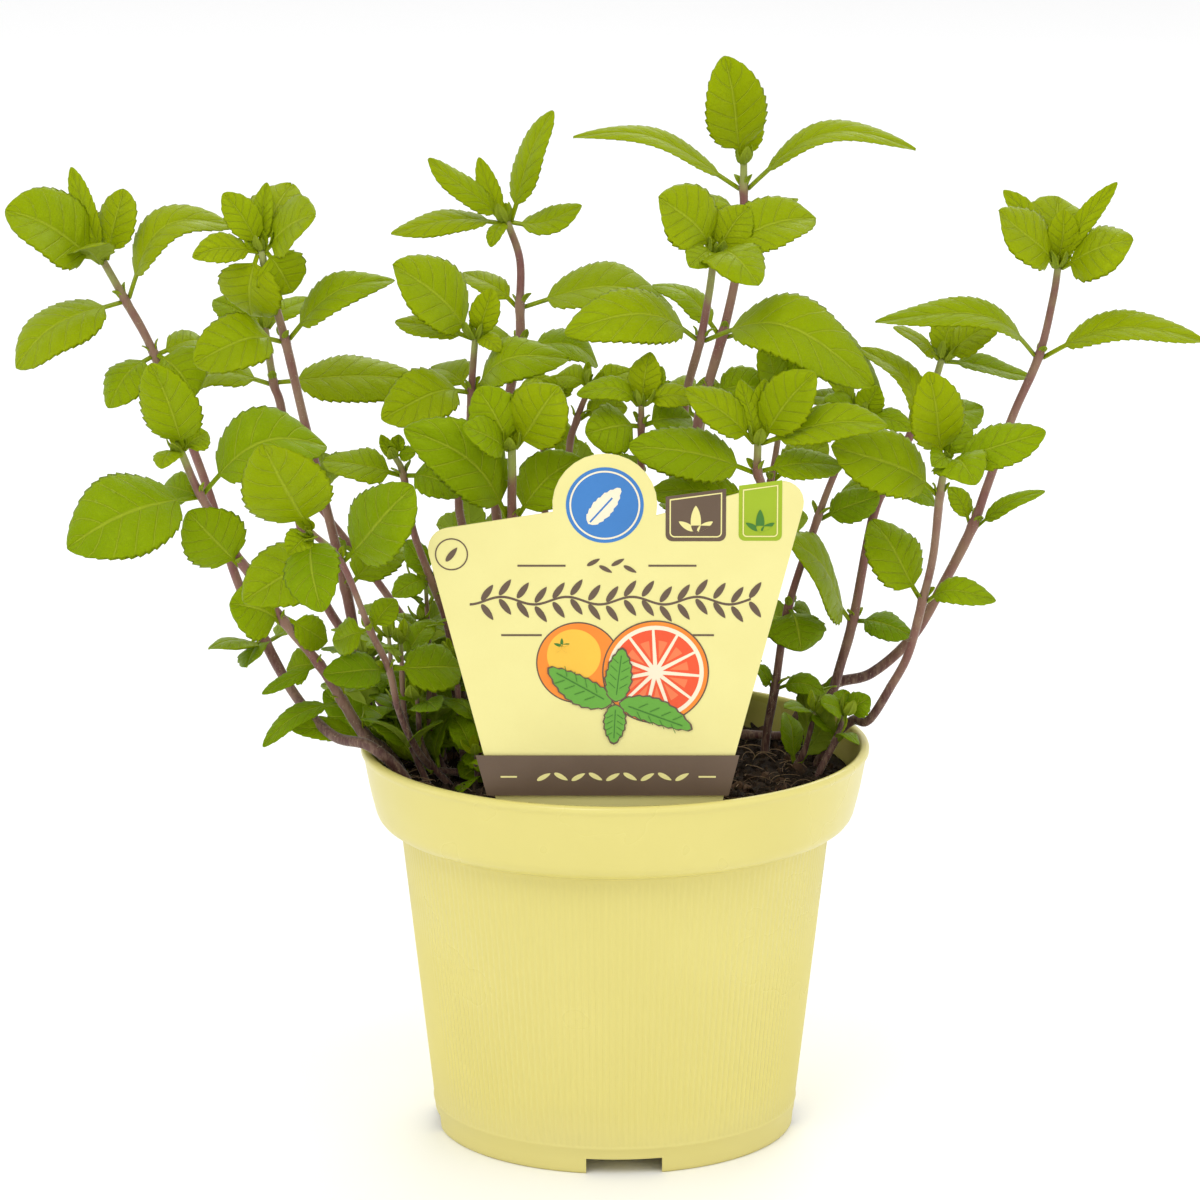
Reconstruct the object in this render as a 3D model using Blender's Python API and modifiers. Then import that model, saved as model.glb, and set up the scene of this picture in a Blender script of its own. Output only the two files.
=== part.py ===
"""A young mint in a light 12 cm nursery pot, with a plant label standing in the soil.

Sizes here are in millimetres and the scene is in metres, +Z up. The origin is on the pot's axis at its
foot, and the label faces -Y. Each stem and large leaf, the pot, the soil and the label is its own solid.
"""

import math

import bmesh
import bpy
import numpy as np

MM = 0.001
GAP = 0.3  # clear space between neighbouring solids
ROUND = 64  # steps round the pot and the soil

POT_HEIGHT = 94.6
WALL = 1.2
FOOT_RADIUS = 43.4
FLOOR_HEIGHT = 4.0
FLOOR_TOP = FLOOR_HEIGHT + WALL
BODY_TOP = (51.5, 74.4)  # radius and height where the plain wall meets the rim band
BAND_LOW = (57.7, 79.8)
BAND_TOP = (60.3, 92.2)
LIP_RADIUS = 61.0
NOTCHES, NOTCH_WIDTH, NOTCH_HEIGHT = 4, 18.0, 3.9
NOTCH_TURN = 0.05  # how far round the front notch is from the label
HOLES, HOLE_RING, HOLE_RADIUS = 8, 33.0, 2.75

SOIL_TOP = 86.8
SOIL_EDGE = (57.0, 85.2)

LABEL_THICK = 0.6
LABEL_STAND = (0.0, -46.0, 90.0)  # the middle of the label's lower edge
LABEL_LEAN = 2.0  # degrees towards the front
LABEL_CORNER = 5.0  # radius of its upper corners
LABEL_HEAD = (-2.5, 73.0, 12.0)  # centre and radius of its round head, from LABEL_STAND
STAKE_WIDTH, STAKE_DEPTH = 14.0, 44.0
BAND_THICK = 0.5

LEAF_THICK = 0.8
STALK = 0.15  # the part of a leaf's length that is its stalk
STALK_HALF = 0.55
FACING = 0.75  # how far the blades turn to the nearest side of the pot, front or back

# Each stem: its radius at the foot and at the tip, the points it passes, and its large leaves.
# A leaf: the number of the point it grows from, its tip as right, back and up from there, its width,
# and how far it arches, as a part of its length.
STEMS = {
    "far_left": (
        1.6, 1.0,
        [
            (-45.5, -14.8, 78), (-50, -17, 90), (-58, -18, 98), (-67, -12, 99), (-76, -3, 106),
            (-84, 5, 118), (-91, 9, 133), (-99, 12, 158), (-110, 15, 186), (-117, 17, 199),
            (-122, 18, 208),
        ],
        [
            (10, -22.4, -7, 13.5, 21, 0.08), (9, -25.5, -9, -15, 18, 0.15), (9, 26, 4, 17, 13, 0.36),
        ],
    ),
    "front_left": (
        1.5, 1.0,
        [
            (-46.9, -2.5, 78), (-53, -4, 91), (-60, -6, 98), (-65, -9, 107), (-70, -14, 117),
            (-78, -20, 129), (-87, -26, 144), (-96, -33, 162), (-100, -37, 173),
        ],
        [
            (7, -30, -12, -10, 22, 0.15), (7, 29, 7, 10, 18, 0.3),
        ],
    ),
    "front": (
        1.1, 0.8,
        [
            (-29.0, -0.7, 78), (-31, -2, 86), (-37, -5, 88), (-43, -9, 90), (-47, -14, 96),
            (-51, -20, 107), (-53, -27, 119), (-57, -34, 130), (-63, -46, 149), (-69, -60, 159),
        ],
        [
            (8, 17, -6, 19, 18, 0.1), (8, -22, -10, -7, 17, 0.12), (9, -10, -12, 23, 20, 0.08),
        ],
    ),
    "left": (
        1.7, 1.0,
        [
            (-46.7, 17.3, 78), (-50, 18, 86), (-53, 19, 94), (-57, 19, 100), (-61, 18, 107),
            (-65, 15, 129), (-68, 12, 144), (-74, 6, 172), (-78, 2, 192), (-82, -1, 208),
            (-83, -2, 214),
        ],
        [
            (8, -21, -9, -4, 16, 0.22),
        ],
    ),
    "left_back": (
        1.5, 1.0,
        [
            (-39.8, 27.8, 78), (-47, 31, 94), (-55, 32, 103), (-64, 31, 111), (-72, 31, 124),
            (-77, 32, 142), (-81, 36, 168), (-83, 37, 175), (-85, 39, 188),
        ],
        [
            (7, 35, 3, 0, 16, 0.07),
        ],
    ),
    "centre_left": (
        1.4, 0.9,
        [
            (-18.2, 14.0, 78), (-19, 14, 91), (-28, 10, 117), (-37, 5, 149), (-35, 3, 160),
            (-34, 0, 180), (-33, -2, 193),
        ],
        [
            (5, -21, -9, -5, 15, 0.18), (5, 23, -7, 9, 14, 0.34), (6, -19, -8, 19, 18, 0.08),
        ],
    ),
    "tall_centre": (
        1.6, 1.0,
        [
            (-12.2, 26.0, 78), (-13, 26, 91), (-23, 26, 118), (-29, 28, 148), (-25, 32, 176),
            (-23, 34, 185), (-23, 36, 194), (-23, 38, 205), (-26, 40, 214),
        ],
        [
            (6, 37, 5, -1, 17, 0.2),
        ],
    ),
    "centre_right": (
        1.4, 1.0,
        [
            (8.0, 8.0, 78), (8, 8, 93), (11, 4, 133), (16, -4, 174), (17, -6, 182), (20, -8, 194),
            (22, -10, 206), (23, -12, 215),
        ],
        [
            (5, -32, -14, 4, 15, 0.24), (5, 40, -7, -10, 18, 0.3), (7, 24, 8, 7, 15, 0.1),
        ],
    ),
    "tallest": (
        1.7, 1.0,
        [
            (8.0, 30.0, 78), (8, 30, 90), (12, 28, 128), (20, 28, 166), (22, 29, 174), (26, 30, 188),
            (29, 32, 201), (31, 34, 214), (31, 35, 223), (31, 35, 229),
        ],
        [
            (5, 39, 2, -16, 13, 0.3), (8, -41, -5, 13, 8, 0.16), (8, 41, -5, 10, 9, 0.25),
            (9, -5, -8, 27, 15, 0.05),
        ],
    ),
    "short_back": (
        1.2, 0.8,
        [
            (-4.0, 16.0, 78), (-4, 16, 91), (-10, 12, 131), (-11, 8, 162), (-9, 7, 172), (-6, 6, 180),
        ],
        [],
    ),
    "short_centre": (
        1.2, 0.8,
        [
            (0.2, -6.0, 78), (1, -6, 96), (6, -12, 142), (6, -18, 165), (6, -21, 176), (6, -22, 181),
        ],
        [],
    ),
    "label_right": (
        1.4, 1.0,
        [
            (18.2, -10.0, 78), (19, -10, 97), (31, -18, 133), (34, -24, 159), (33, -26, 166),
            (33, -27, 173),
        ],
        [
            (4, -30, -5, 7, 14, 0.1),
        ],
    ),
    "right": (
        1.6, 1.0,
        [
            (43.6, 20.8, 78), (50, 24, 94), (53, 25, 100), (55, 25, 107), (58, 24, 119), (62, 24, 142),
            (65, 25, 151), (72, 27, 165), (76, 28, 173), (79, 30, 182),
        ],
        [
            (4, -17, -22, 25, 20, 0.08),
        ],
    ),
    "right_thin": (
        1.3, 0.9,
        [
            (36.2, 22.0, 78), (37, 22, 90), (39, 20, 103), (42, 19, 123), (49, 20, 145), (53, 20, 156),
            (59, 19, 170),
        ],
        [],
    ),
    "right_front": (
        1.5, 1.0,
        [
            (45.6, 8.8, 78), (51, 8, 91), (57, 6, 98), (61, 3, 99), (66, 0, 108), (70, -3, 117),
            (73, -7, 131), (75, -12, 143), (76, -18, 159), (77, -21, 167),
        ],
        [
            (8, -26, -8, 13, 16, 0.12),
        ],
    ),
    "far_right": (
        1.8, 1.0,
        [
            (39.6, 28.8, 78), (46, 32, 94), (54, 31, 101), (63, 30, 104), (73, 28, 114), (81, 27, 129),
            (87, 26, 142), (90, 26, 151), (96, 25, 169), (102, 24, 184), (105, 23, 198),
            (106, 22, 206),
        ],
        [
            (9, -40, -10, 10, 10, 0.24), (9, 39.3, -3, 4, 10, 0.2), (11, -15, -8, 15, 15, 0.08),
        ],
    ),
    "rim_shoot": (
        1.1, 0.8,
        [
            (45.4, -4.0, 78), (49, -4, 88), (53, -3, 96), (55, -3, 102),
        ],
        [],
    ),
    "label_left": (
        1.3, 0.8,
        [
            (-33.5, 10.0, 78), (-35, 10, 91), (-40, 6, 121), (-44, 2, 134), (-48, -2, 147),
            (-50, -6, 161), (-52, -8, 166),
        ],
        [],
    ),
    "label_top": (
        1.5, 1.1,
        [
            (-17.2, -6.0, 78), (-18, -6, 96), (-22, -15, 128), (-24, -23, 154), (-24, -27, 165),
            (-24, -29, 172),
        ],
        [
            (3, -25, -7, 23, 16, 0.2),
        ],
    ),
    "mid_back": (
        1.2, 0.8,
        [
            (-2.4, 36.8, 78), (-4, 36, 92), (-13, 26, 127), (-17, 18, 148), (-17, 14, 165),
            (-16, 13, 175),
        ],
        [],
    ),
    "right_back": (
        1.2, 0.8,
        [
            (20.2, 40.0, 78), (21, 40, 90), (31, 37, 121), (38, 35, 151), (41, 33, 172),
        ],
        [],
    ),
    "back_far_left": (
        1.4, 0.9,
        [
            (-33.4, 35.2, 78), (-39, 40, 94), (-50, 48, 110), (-64, 56, 128), (-76, 61, 142),
        ],
        [],
    ),
    "back_left": (
        1.4, 0.9,
        [
            (-23.1, 41.1, 78), (-27, 45, 92), (-31, 54, 106), (-34, 64, 119), (-36, 71, 126),
        ],
        [],
    ),
    "back_centre": (
        1.5, 0.9,
        [
            (-8.0, 45.9, 78), (-8, 49, 92), (-8, 58, 110), (-8, 67, 129), (-8, 73, 140),
        ],
        [],
    ),
    "back_right": (
        1.4, 0.9,
        [
            (10.2, 45.7, 78), (11, 48, 92), (15, 55, 120), (20, 63, 147), (22, 67, 160),
        ],
        [],
    ),
    "back_far_right": (
        1.4, 0.9,
        [
            (24.7, 41.3, 78), (27, 46, 92), (29, 56, 108), (31, 65, 121), (33, 71, 128),
        ],
        [],
    ),
}
RUNNER = [(24, 28.5, 88.6), (31, 28.2, 88.8), (37, 27.6, 88.8), (43, 27, 88.6), (49, 26.6, 88.4)]
RUNNER_RADIUS = 1.2


def clear_scene():
    """Remove what is in the scene and make the two collections."""
    for thing in list(bpy.data.objects):
        bpy.data.objects.remove(thing)
    plant = bpy.data.collections.new("potted_mint")
    cutters = bpy.data.collections.new("cutters")
    for collection in (plant, cutters):
        bpy.context.scene.collection.children.link(collection)
    return plant, cutters


def material(name, colour, roughness):
    """A Principled material of one colour."""
    made = bpy.data.materials.new(name)
    made.use_nodes = True
    shader = made.node_tree.nodes["Principled BSDF"]
    shader.inputs["Base Color"].default_value = (*colour, 1)
    shader.inputs["Roughness"].default_value = roughness
    shader.inputs["Metallic"].default_value = 0.0
    return made


def add_part(name, data, look):
    """Put a mesh or a curve into the plant's collection as a visible part."""
    part = bpy.data.objects.new(name, data)
    data.materials.append(look)
    PLANT.objects.link(part)
    return part


def add_cutter(name, mesh):
    """Put a mesh into the cutters' collection, hidden from the render."""
    cutter = bpy.data.objects.new(name, mesh)
    cutter.hide_render = True
    cutter.display_type = "WIRE"
    CUTTERS.objects.link(cutter)
    return cutter


def cut(part, cutter):
    """Take a cutter out of a part."""
    modifier = part.modifiers.new(cutter.name, "BOOLEAN")
    modifier.operation = "DIFFERENCE"
    modifier.solver = "EXACT"
    modifier.object = cutter


def primitive(name, build, **options):
    """A mesh from one of bmesh's own shapes."""
    mesh = bpy.data.meshes.new(name)
    shape = bmesh.new()
    build(shape, **options)
    shape.to_mesh(mesh)
    shape.free()
    return mesh


def turned(name, profile, look):
    """A profile of (radius, height) points, turned about +Z with a Screw modifier."""
    mesh = bpy.data.meshes.new(name)
    points = [(radius * MM, 0, height * MM) for radius, height in profile]
    mesh.from_pydata(points, [(k, k + 1) for k in range(len(points) - 1)], [])
    part = add_part(name, mesh, look)
    screw = part.modifiers.new("turn", "SCREW")
    screw.steps = screw.render_steps = ROUND
    screw.use_merge_vertices = True
    screw.merge_threshold = 0.01 * MM
    screw.use_smooth_shade = True
    return part


def smooth(route, parts=3):
    """A curve through all the points of a route, as a Catmull-Rom spline."""
    points = np.array(route, float)
    points = np.vstack([2 * points[0] - points[1], points, 2 * points[-1] - points[-2]])
    line = []
    for k in range(1, len(points) - 2):
        before, start, end, after = points[k - 1 : k + 3]
        for t in np.arange(parts) / parts:
            line.append(
                start
                + (end - before) * t / 2
                + (2 * before - 5 * start + 4 * end - after) * t**2 / 2
                + (3 * start - before - 3 * end + after) * t**3 / 2
            )
    line.append(points[-2])
    return np.array(line)


def tube(name, line, radii, resolution=1):
    """A curve with a round bevel along a line, which may taper."""
    curve = bpy.data.curves.new(name, "CURVE")
    curve.dimensions = "3D"
    curve.bevel_depth = radii[0] * MM
    curve.bevel_resolution = resolution
    curve.use_fill_caps = True
    spline = curve.splines.new("POLY")
    spline.points.add(len(line) - 1)
    for point, place, radius in zip(spline.points, line, radii):
        point.co = (*(place * MM), 1)
        point.radius = radius / radii[0]
    spline.use_smooth = True
    return curve


def closed_mesh(name, curve):
    """The mesh of a tube with its caps welded on, for use as a cutter."""
    guide = bpy.data.objects.new(name, curve)
    CUTTERS.objects.link(guide)
    graph = bpy.context.evaluated_depsgraph_get()
    mesh = bpy.data.meshes.new_from_object(guide.evaluated_get(graph))
    bpy.data.objects.remove(guide)
    shape = bmesh.new()
    shape.from_mesh(mesh)
    bmesh.ops.remove_doubles(shape, verts=shape.verts, dist=0.001 * MM)
    bmesh.ops.recalc_face_normals(shape, faces=shape.faces)
    shape.to_mesh(mesh)
    shape.free()
    return mesh


def make_pot(look):
    """A thin tapered shell with a rim band, on a ring with notches, and holes in its raised floor."""
    ring = FOOT_RADIUS - 1.3
    inner = [(0, FLOOR_TOP), (FOOT_RADIUS - 0.9, FLOOR_TOP), (BODY_TOP[0] - WALL, BODY_TOP[1] + 1.4)]
    inner += [(52.8, 76.6), (54.9, 77.4), (56.0, 78.5), (BAND_LOW[0] - WALL, BAND_LOW[1] + 0.2)]
    inner += [(58.7, 93), (58.8, 94)]
    lip = [(59.4, POT_HEIGHT), (60.3, POT_HEIGHT), (LIP_RADIUS, 94), (LIP_RADIUS, 93.2), BAND_TOP]
    outer = [BAND_LOW, (57.3, 78.2), (56.1, 76.5), (54.0, 75.1), BODY_TOP, (FOOT_RADIUS, 1.2)]
    foot = [(FOOT_RADIUS - 0.5, 0), (ring, 0), (ring, FLOOR_HEIGHT), (0, FLOOR_HEIGHT)]
    pot = turned("pot", inner + lip + outer + foot, look)
    for k in range(NOTCHES):
        turn = 2 * math.pi * k / NOTCHES + NOTCH_TURN
        notch = add_cutter(f"notch_{k}", primitive("notch", bmesh.ops.create_cube, size=1))
        notch.scale = (NOTCH_WIDTH * MM, 8 * MM, (NOTCH_HEIGHT + 1) * MM)
        notch.location = (FOOT_RADIUS * math.sin(turn) * MM, -FOOT_RADIUS * math.cos(turn) * MM, 0)
        notch.location.z = (NOTCH_HEIGHT - 1) / 2 * MM
        notch.rotation_euler.z = turn
        cut(pot, notch)
    for k in range(HOLES + 1):
        turn = 2 * math.pi * (k + 0.3) / HOLES  # between the pot's own edges
        reach = HOLE_RING if k < HOLES else 0
        drill = primitive(
            "hole", bmesh.ops.create_cone, cap_ends=True, segments=16,
            radius1=HOLE_RADIUS * MM, radius2=HOLE_RADIUS * MM, depth=6 * MM,
        )
        hole = add_cutter(f"hole_{k}", drill)
        hole.location = (reach * math.cos(turn) * MM, reach * math.sin(turn) * MM, FLOOR_HEIGHT * MM)
        cut(pot, hole)


def make_soil(look):
    """The soil up to 8 mm below the lip, following the pot's inside with a gap."""
    surface = [(0, SOIL_TOP), (30, SOIL_TOP - 0.2), (50, SOIL_TOP - 0.6), SOIL_EDGE]
    side = [(56.1, 80.2), (55.5, 79.0), (54.4, 78.0), (52.2, 77.1), (49.8, 76.1)]
    base = [(FOOT_RADIUS - 1.3, FLOOR_TOP + GAP), (0, FLOOR_TOP + GAP)]
    return turned("potting_soil", surface + side + base, look)


def make_stem(name, soil, look):
    """A tapered stem along its smoothed route, with a socket for its foot in the soil."""
    foot_radius, tip_radius, route, _ = STEMS[name]
    line = smooth(route)
    add_part(f"stem_{name}", tube(name, line, np.linspace(foot_radius, tip_radius, len(line))), look)
    buried = line[line[:, 2] < POT_HEIGHT]
    down = (buried[0] - buried[1]) / np.linalg.norm(buried[0] - buried[1])
    buried = np.vstack([buried[0] + GAP * down, buried])
    socket = tube("socket", buried, np.full(len(buried), foot_radius + 1.2 * GAP), resolution=4)
    cut(soil, add_cutter(f"socket_{name}", closed_mesh("socket", socket)))


def leaf_frame(stem, leaf):
    """Where a leaf starts, its tip, and the unit vectors across it and up from its upper face."""
    foot_radius, tip_radius, route, _ = STEMS[stem]
    index, right, back, up = leaf[:4]
    node = np.array(route[index], float)
    axis = node - np.array(route[index - 1], float)
    axis /= np.linalg.norm(axis)
    reach = np.array([right, back, up], float)
    radius = foot_radius + (tip_radius - foot_radius) * index / (len(route) - 1)
    away = reach - axis * (reach @ axis)
    start = node + away / np.linalg.norm(away) * (radius + 0.9)
    tip = node + reach
    along = (tip - start) / np.linalg.norm(tip - start)
    top = axis + (0, FACING if stem.startswith("back") else -FACING, 0)
    top -= along * (top @ along)
    top /= np.linalg.norm(top)
    return start, tip, np.cross(along, top), top


def half_width(u, width):
    """Half the leaf's width at a part u of its length: a narrow stalk, then an ovate blade."""
    v = max(0.0, (u - STALK) / (1 - STALK))
    return max(STALK_HALF * min(1, 2.5 - 2 * u), width / 2 * 2.17 * v**0.52 * (1 - v) ** 0.6)


def make_leaf(stem, number, leaf, look):
    """A grid bent into a leaf, arched along its midrib and folded up at its edges, with a thickness."""
    start, tip, side, top = leaf_frame(stem, leaf)
    width, arch = leaf[4], leaf[5]
    length = np.linalg.norm(tip - start)
    mesh = primitive("leaf", bmesh.ops.create_grid, x_segments=9, y_segments=2, size=1)
    for vertex in mesh.vertices:
        u = (vertex.co.x + 1) / 2
        half = half_width(u, width)
        lift = arch * length * math.sin(math.pi * u) + 0.16 * abs(vertex.co.y) * half
        vertex.co = (start + (tip - start) * u + side * vertex.co.y * half + top * lift) * MM
    part = add_part(f"leaf_{stem}_{number}", mesh, look)
    mesh.shade_smooth()
    solid = part.modifiers.new("thickness", "SOLIDIFY")
    solid.thickness = LEAF_THICK * MM
    solid.offset = 0


def arc(centre, radius, first, last, steps=6):
    """Points on a circle from one angle to another, in degrees."""
    angles = np.radians(np.linspace(first, last, steps + 1))
    return [(centre[0] + radius * math.cos(a), centre[1] + radius * math.sin(a)) for a in angles]


def sheet(name, outline, thick, forward, look):
    """A flat outline of (right, up) points, standing and leaning at the label's place."""
    curve = bpy.data.curves.new(name, "CURVE")
    curve.dimensions = "2D"
    curve.fill_mode = "BOTH"
    curve.extrude = thick / 2 * MM
    spline = curve.splines.new("POLY")
    spline.points.add(len(outline) - 1)
    for point, (x, y) in zip(spline.points, outline):
        point.co = (x * MM, y * MM, 0, 1)
    spline.use_cyclic_u = True
    part = add_part(name, curve, look)
    part.rotation_euler.x = math.radians(90 + LABEL_LEAN)
    part.location = (LABEL_STAND[0] * MM, (LABEL_STAND[1] - forward) * MM, LABEL_STAND[2] * MM)


def make_label(soil, paper, brown):
    """A shaped card on a stake in the soil, and a brown strip before its foot."""
    centre_x, centre_y, radius = LABEL_HEAD
    half = STAKE_WIDTH / 2
    outline = [(-half, -2), (-27, 0)]
    outline += arc((-38, 62.6), LABEL_CORNER, 193, 98)
    outline += arc((centre_x, centre_y), radius, 188, -12, steps=16)
    outline += arc((38, 73.6), LABEL_CORNER, 86, -14)
    outline += [(24.2, 0), (half, -2)]
    outline += [(half - 2, 8 - STAKE_DEPTH), (0, -STAKE_DEPTH), (2 - half, 8 - STAKE_DEPTH)]
    sheet("plant_label", outline, LABEL_THICK, 0, paper)
    strip = [(-32.3, 13.4), (-29.8, 3.8), (26.2, 3.8), (28.6, 13.4)]
    sheet("label_band", strip, BAND_THICK, (LABEL_THICK + BAND_THICK) / 2 + GAP, brown)
    slot = add_cutter("stake_slot", primitive("slot", bmesh.ops.create_cube, size=1))
    slot.scale = ((STAKE_WIDTH + 1) * MM, (LABEL_THICK + 2 * GAP) * MM, (STAKE_DEPTH + 2) * MM)
    slot.rotation_euler.x = math.radians(LABEL_LEAN)
    middle = (STAKE_DEPTH - 1.4) / 2
    slot.location = (0, (LABEL_STAND[1] + middle * math.tan(slot.rotation_euler.x)) * MM, 0)
    slot.location.z = (LABEL_STAND[2] - middle) * MM
    cut(soil, slot)


PLANT, CUTTERS = clear_scene()
LEAF_GREEN = material("leaf", (0.25, 0.38, 0.02), 0.5)
STEM_PURPLE = material("stem", (0.25, 0.11, 0.07), 0.6)
make_pot(material("pot", (0.78, 0.70, 0.24), 0.4))
SOIL = make_soil(material("soil", (0.02, 0.014, 0.01), 0.95))
make_label(SOIL, material("paper", (0.90, 0.85, 0.42), 0.6), material("brown", (0.11, 0.07, 0.045), 0.6))
add_part("runner", tube("runner", smooth(RUNNER), np.full(13, RUNNER_RADIUS)), STEM_PURPLE)
for stem_name in STEMS:
    make_stem(stem_name, SOIL, STEM_PURPLE)
    for number, leaf_row in enumerate(STEMS[stem_name][3], 1):
        make_leaf(stem_name, number, leaf_row, LEAF_GREEN)
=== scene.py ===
# %% [markdown]
# # A young mint in its nursery pot
# This lesson dresses a model of a potted mint. The model already holds the right places and sizes:
# a pot, a block of soil, 26 stems, 28 large leaves, a runner and a plant label. Here each of them gets the
# shape and the finish of the real thing, and the many small leaves are added.

import math

import bmesh
import bpy
import numpy as np
from mathutils import Matrix


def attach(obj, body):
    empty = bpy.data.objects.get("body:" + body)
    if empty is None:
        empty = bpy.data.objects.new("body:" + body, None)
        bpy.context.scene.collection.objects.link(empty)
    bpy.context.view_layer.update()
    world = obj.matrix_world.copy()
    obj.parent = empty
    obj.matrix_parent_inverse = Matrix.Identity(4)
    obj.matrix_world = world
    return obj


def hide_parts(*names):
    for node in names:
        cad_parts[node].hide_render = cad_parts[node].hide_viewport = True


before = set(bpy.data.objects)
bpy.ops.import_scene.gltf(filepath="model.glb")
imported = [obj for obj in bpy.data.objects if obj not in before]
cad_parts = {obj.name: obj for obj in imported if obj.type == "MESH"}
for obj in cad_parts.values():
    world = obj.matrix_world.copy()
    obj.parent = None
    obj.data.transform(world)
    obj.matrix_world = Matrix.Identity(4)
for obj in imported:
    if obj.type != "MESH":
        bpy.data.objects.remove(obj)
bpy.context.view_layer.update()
MM = 0.001  # the sizes below are in millimetres, and Blender's scene is in metres

# %% [markdown]
# The camera stands 1.3 m away, looking 13 degrees down, with a long lens. A long lens keeps the pot's sides
# almost parallel. An angle that matters later, such as how much of the soil shows, is settled first.

# %% Camera
LOOK_DOWN = math.radians(13.13)
DISTANCE = 1.3
AIM = (-0.0036, 0.0, 0.1293)
scene = bpy.context.scene
camera = bpy.data.objects.new("camera", bpy.data.cameras.new("camera"))
camera.data.lens = 163.5
camera.data.sensor_width = 36
camera.location = (AIM[0], -DISTANCE * math.cos(LOOK_DOWN), AIM[2] + DISTANCE * math.sin(LOOK_DOWN))
camera.rotation_euler.x = math.pi / 2 - LOOK_DOWN
scene.collection.objects.link(camera)
scene.camera = camera

# %% [markdown]
# A plant is lit softly, or its many leaves throw hard confusing shadows. A white surround does most of the
# work. A large lamp, high in front and a little to the left, shapes the leaves. Three others, at the left,
# the right and the back, open the shade.

# %% Light and floor
scene.view_settings.view_transform = "Standard"
world = bpy.data.worlds.new("studio")
world.use_nodes = True
world.node_tree.nodes["Background"].inputs["Color"].default_value = (1, 1, 1, 1)
world.node_tree.nodes["Background"].inputs["Strength"].default_value = 0.98
scene.world = world


def lamp(name, place, size, power):
    """A square lamp that points at the middle of the plant."""
    data = bpy.data.lights.new(name, "AREA")
    data.size = size
    data.energy = power
    made = bpy.data.objects.new(name, data)
    made.location = place
    aim = made.location.copy()
    aim.z -= AIM[2]
    made.rotation_euler = aim.to_track_quat("Z", "Y").to_euler()
    scene.collection.objects.link(made)


lamp("key_light", place=(-0.45, -1.15, 1.5), size=0.7, power=7)
lamp("side_light", place=(-1.3, 0.0, 0.14), size=0.22, power=0.8)
lamp("fill_light", place=(1.2, -0.9, 0.9), size=1.2, power=3)
lamp("back_light", place=(0.3, 1.3, 1.2), size=0.9, power=6)

FLOOR_HALF = 6  # half the floor's side, in metres
floor_mesh = bpy.data.meshes.new("floor")
floor_shape = bmesh.new()
bmesh.ops.create_grid(floor_shape, x_segments=1, y_segments=1, size=FLOOR_HALF)
floor_shape.to_mesh(floor_mesh)
floor_shape.free()
floor = bpy.data.objects.new("floor", floor_mesh)
white = bpy.data.materials.new("floor_white")
white.use_nodes = True
white.node_tree.nodes["Principled BSDF"].inputs["Base Color"].default_value = (0.97, 0.97, 0.97, 1)
white.node_tree.nodes["Principled BSDF"].inputs["Roughness"].default_value = 0.6
floor_mesh.materials.append(white)
scene.collection.objects.link(floor)

# %% [markdown]
# ## A small language for node trees
# Nodes are quick to draw by hand and slow to write in Python. Two small classes make them read like sums:
# a Socket is any output of a node, and adding or multiplying sockets adds Math nodes. Everything else comes
# from one method that takes a node's type, its settings and what goes into its sockets.


# %% Sockets and trees
class Socket:
    """An output of a node, which can be used in Python sums."""

    def __init__(self, tree, link):
        self.tree, self.link = tree, link

    def math(self, operation, *others):
        return self.tree.node("ShaderNodeMath", {"operation": operation}, dict(enumerate((self, *others))))

    def __add__(self, other):
        return self.math("ADD", other)

    def __mul__(self, other):
        return self.math("MULTIPLY", other)

    def __sub__(self, other):
        return self.math("SUBTRACT", other)

    def __truediv__(self, other):
        return self.math("DIVIDE", other)

    def __rsub__(self, other):
        return self.tree.node("ShaderNodeMath", {"operation": "SUBTRACT"}, {0: other, 1: self})

    __radd__ = __add__
    __rmul__ = __mul__

    def ramp(self, low, high, start=0.0, end=1.0):
        """A soft step: start below low, end above high."""
        sockets = {"Value": self, "From Min": low, "From Max": high, "To Min": start, "To Max": end}
        return self.tree.node("ShaderNodeMapRange", {"interpolation_type": "SMOOTHSTEP"}, sockets)


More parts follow.
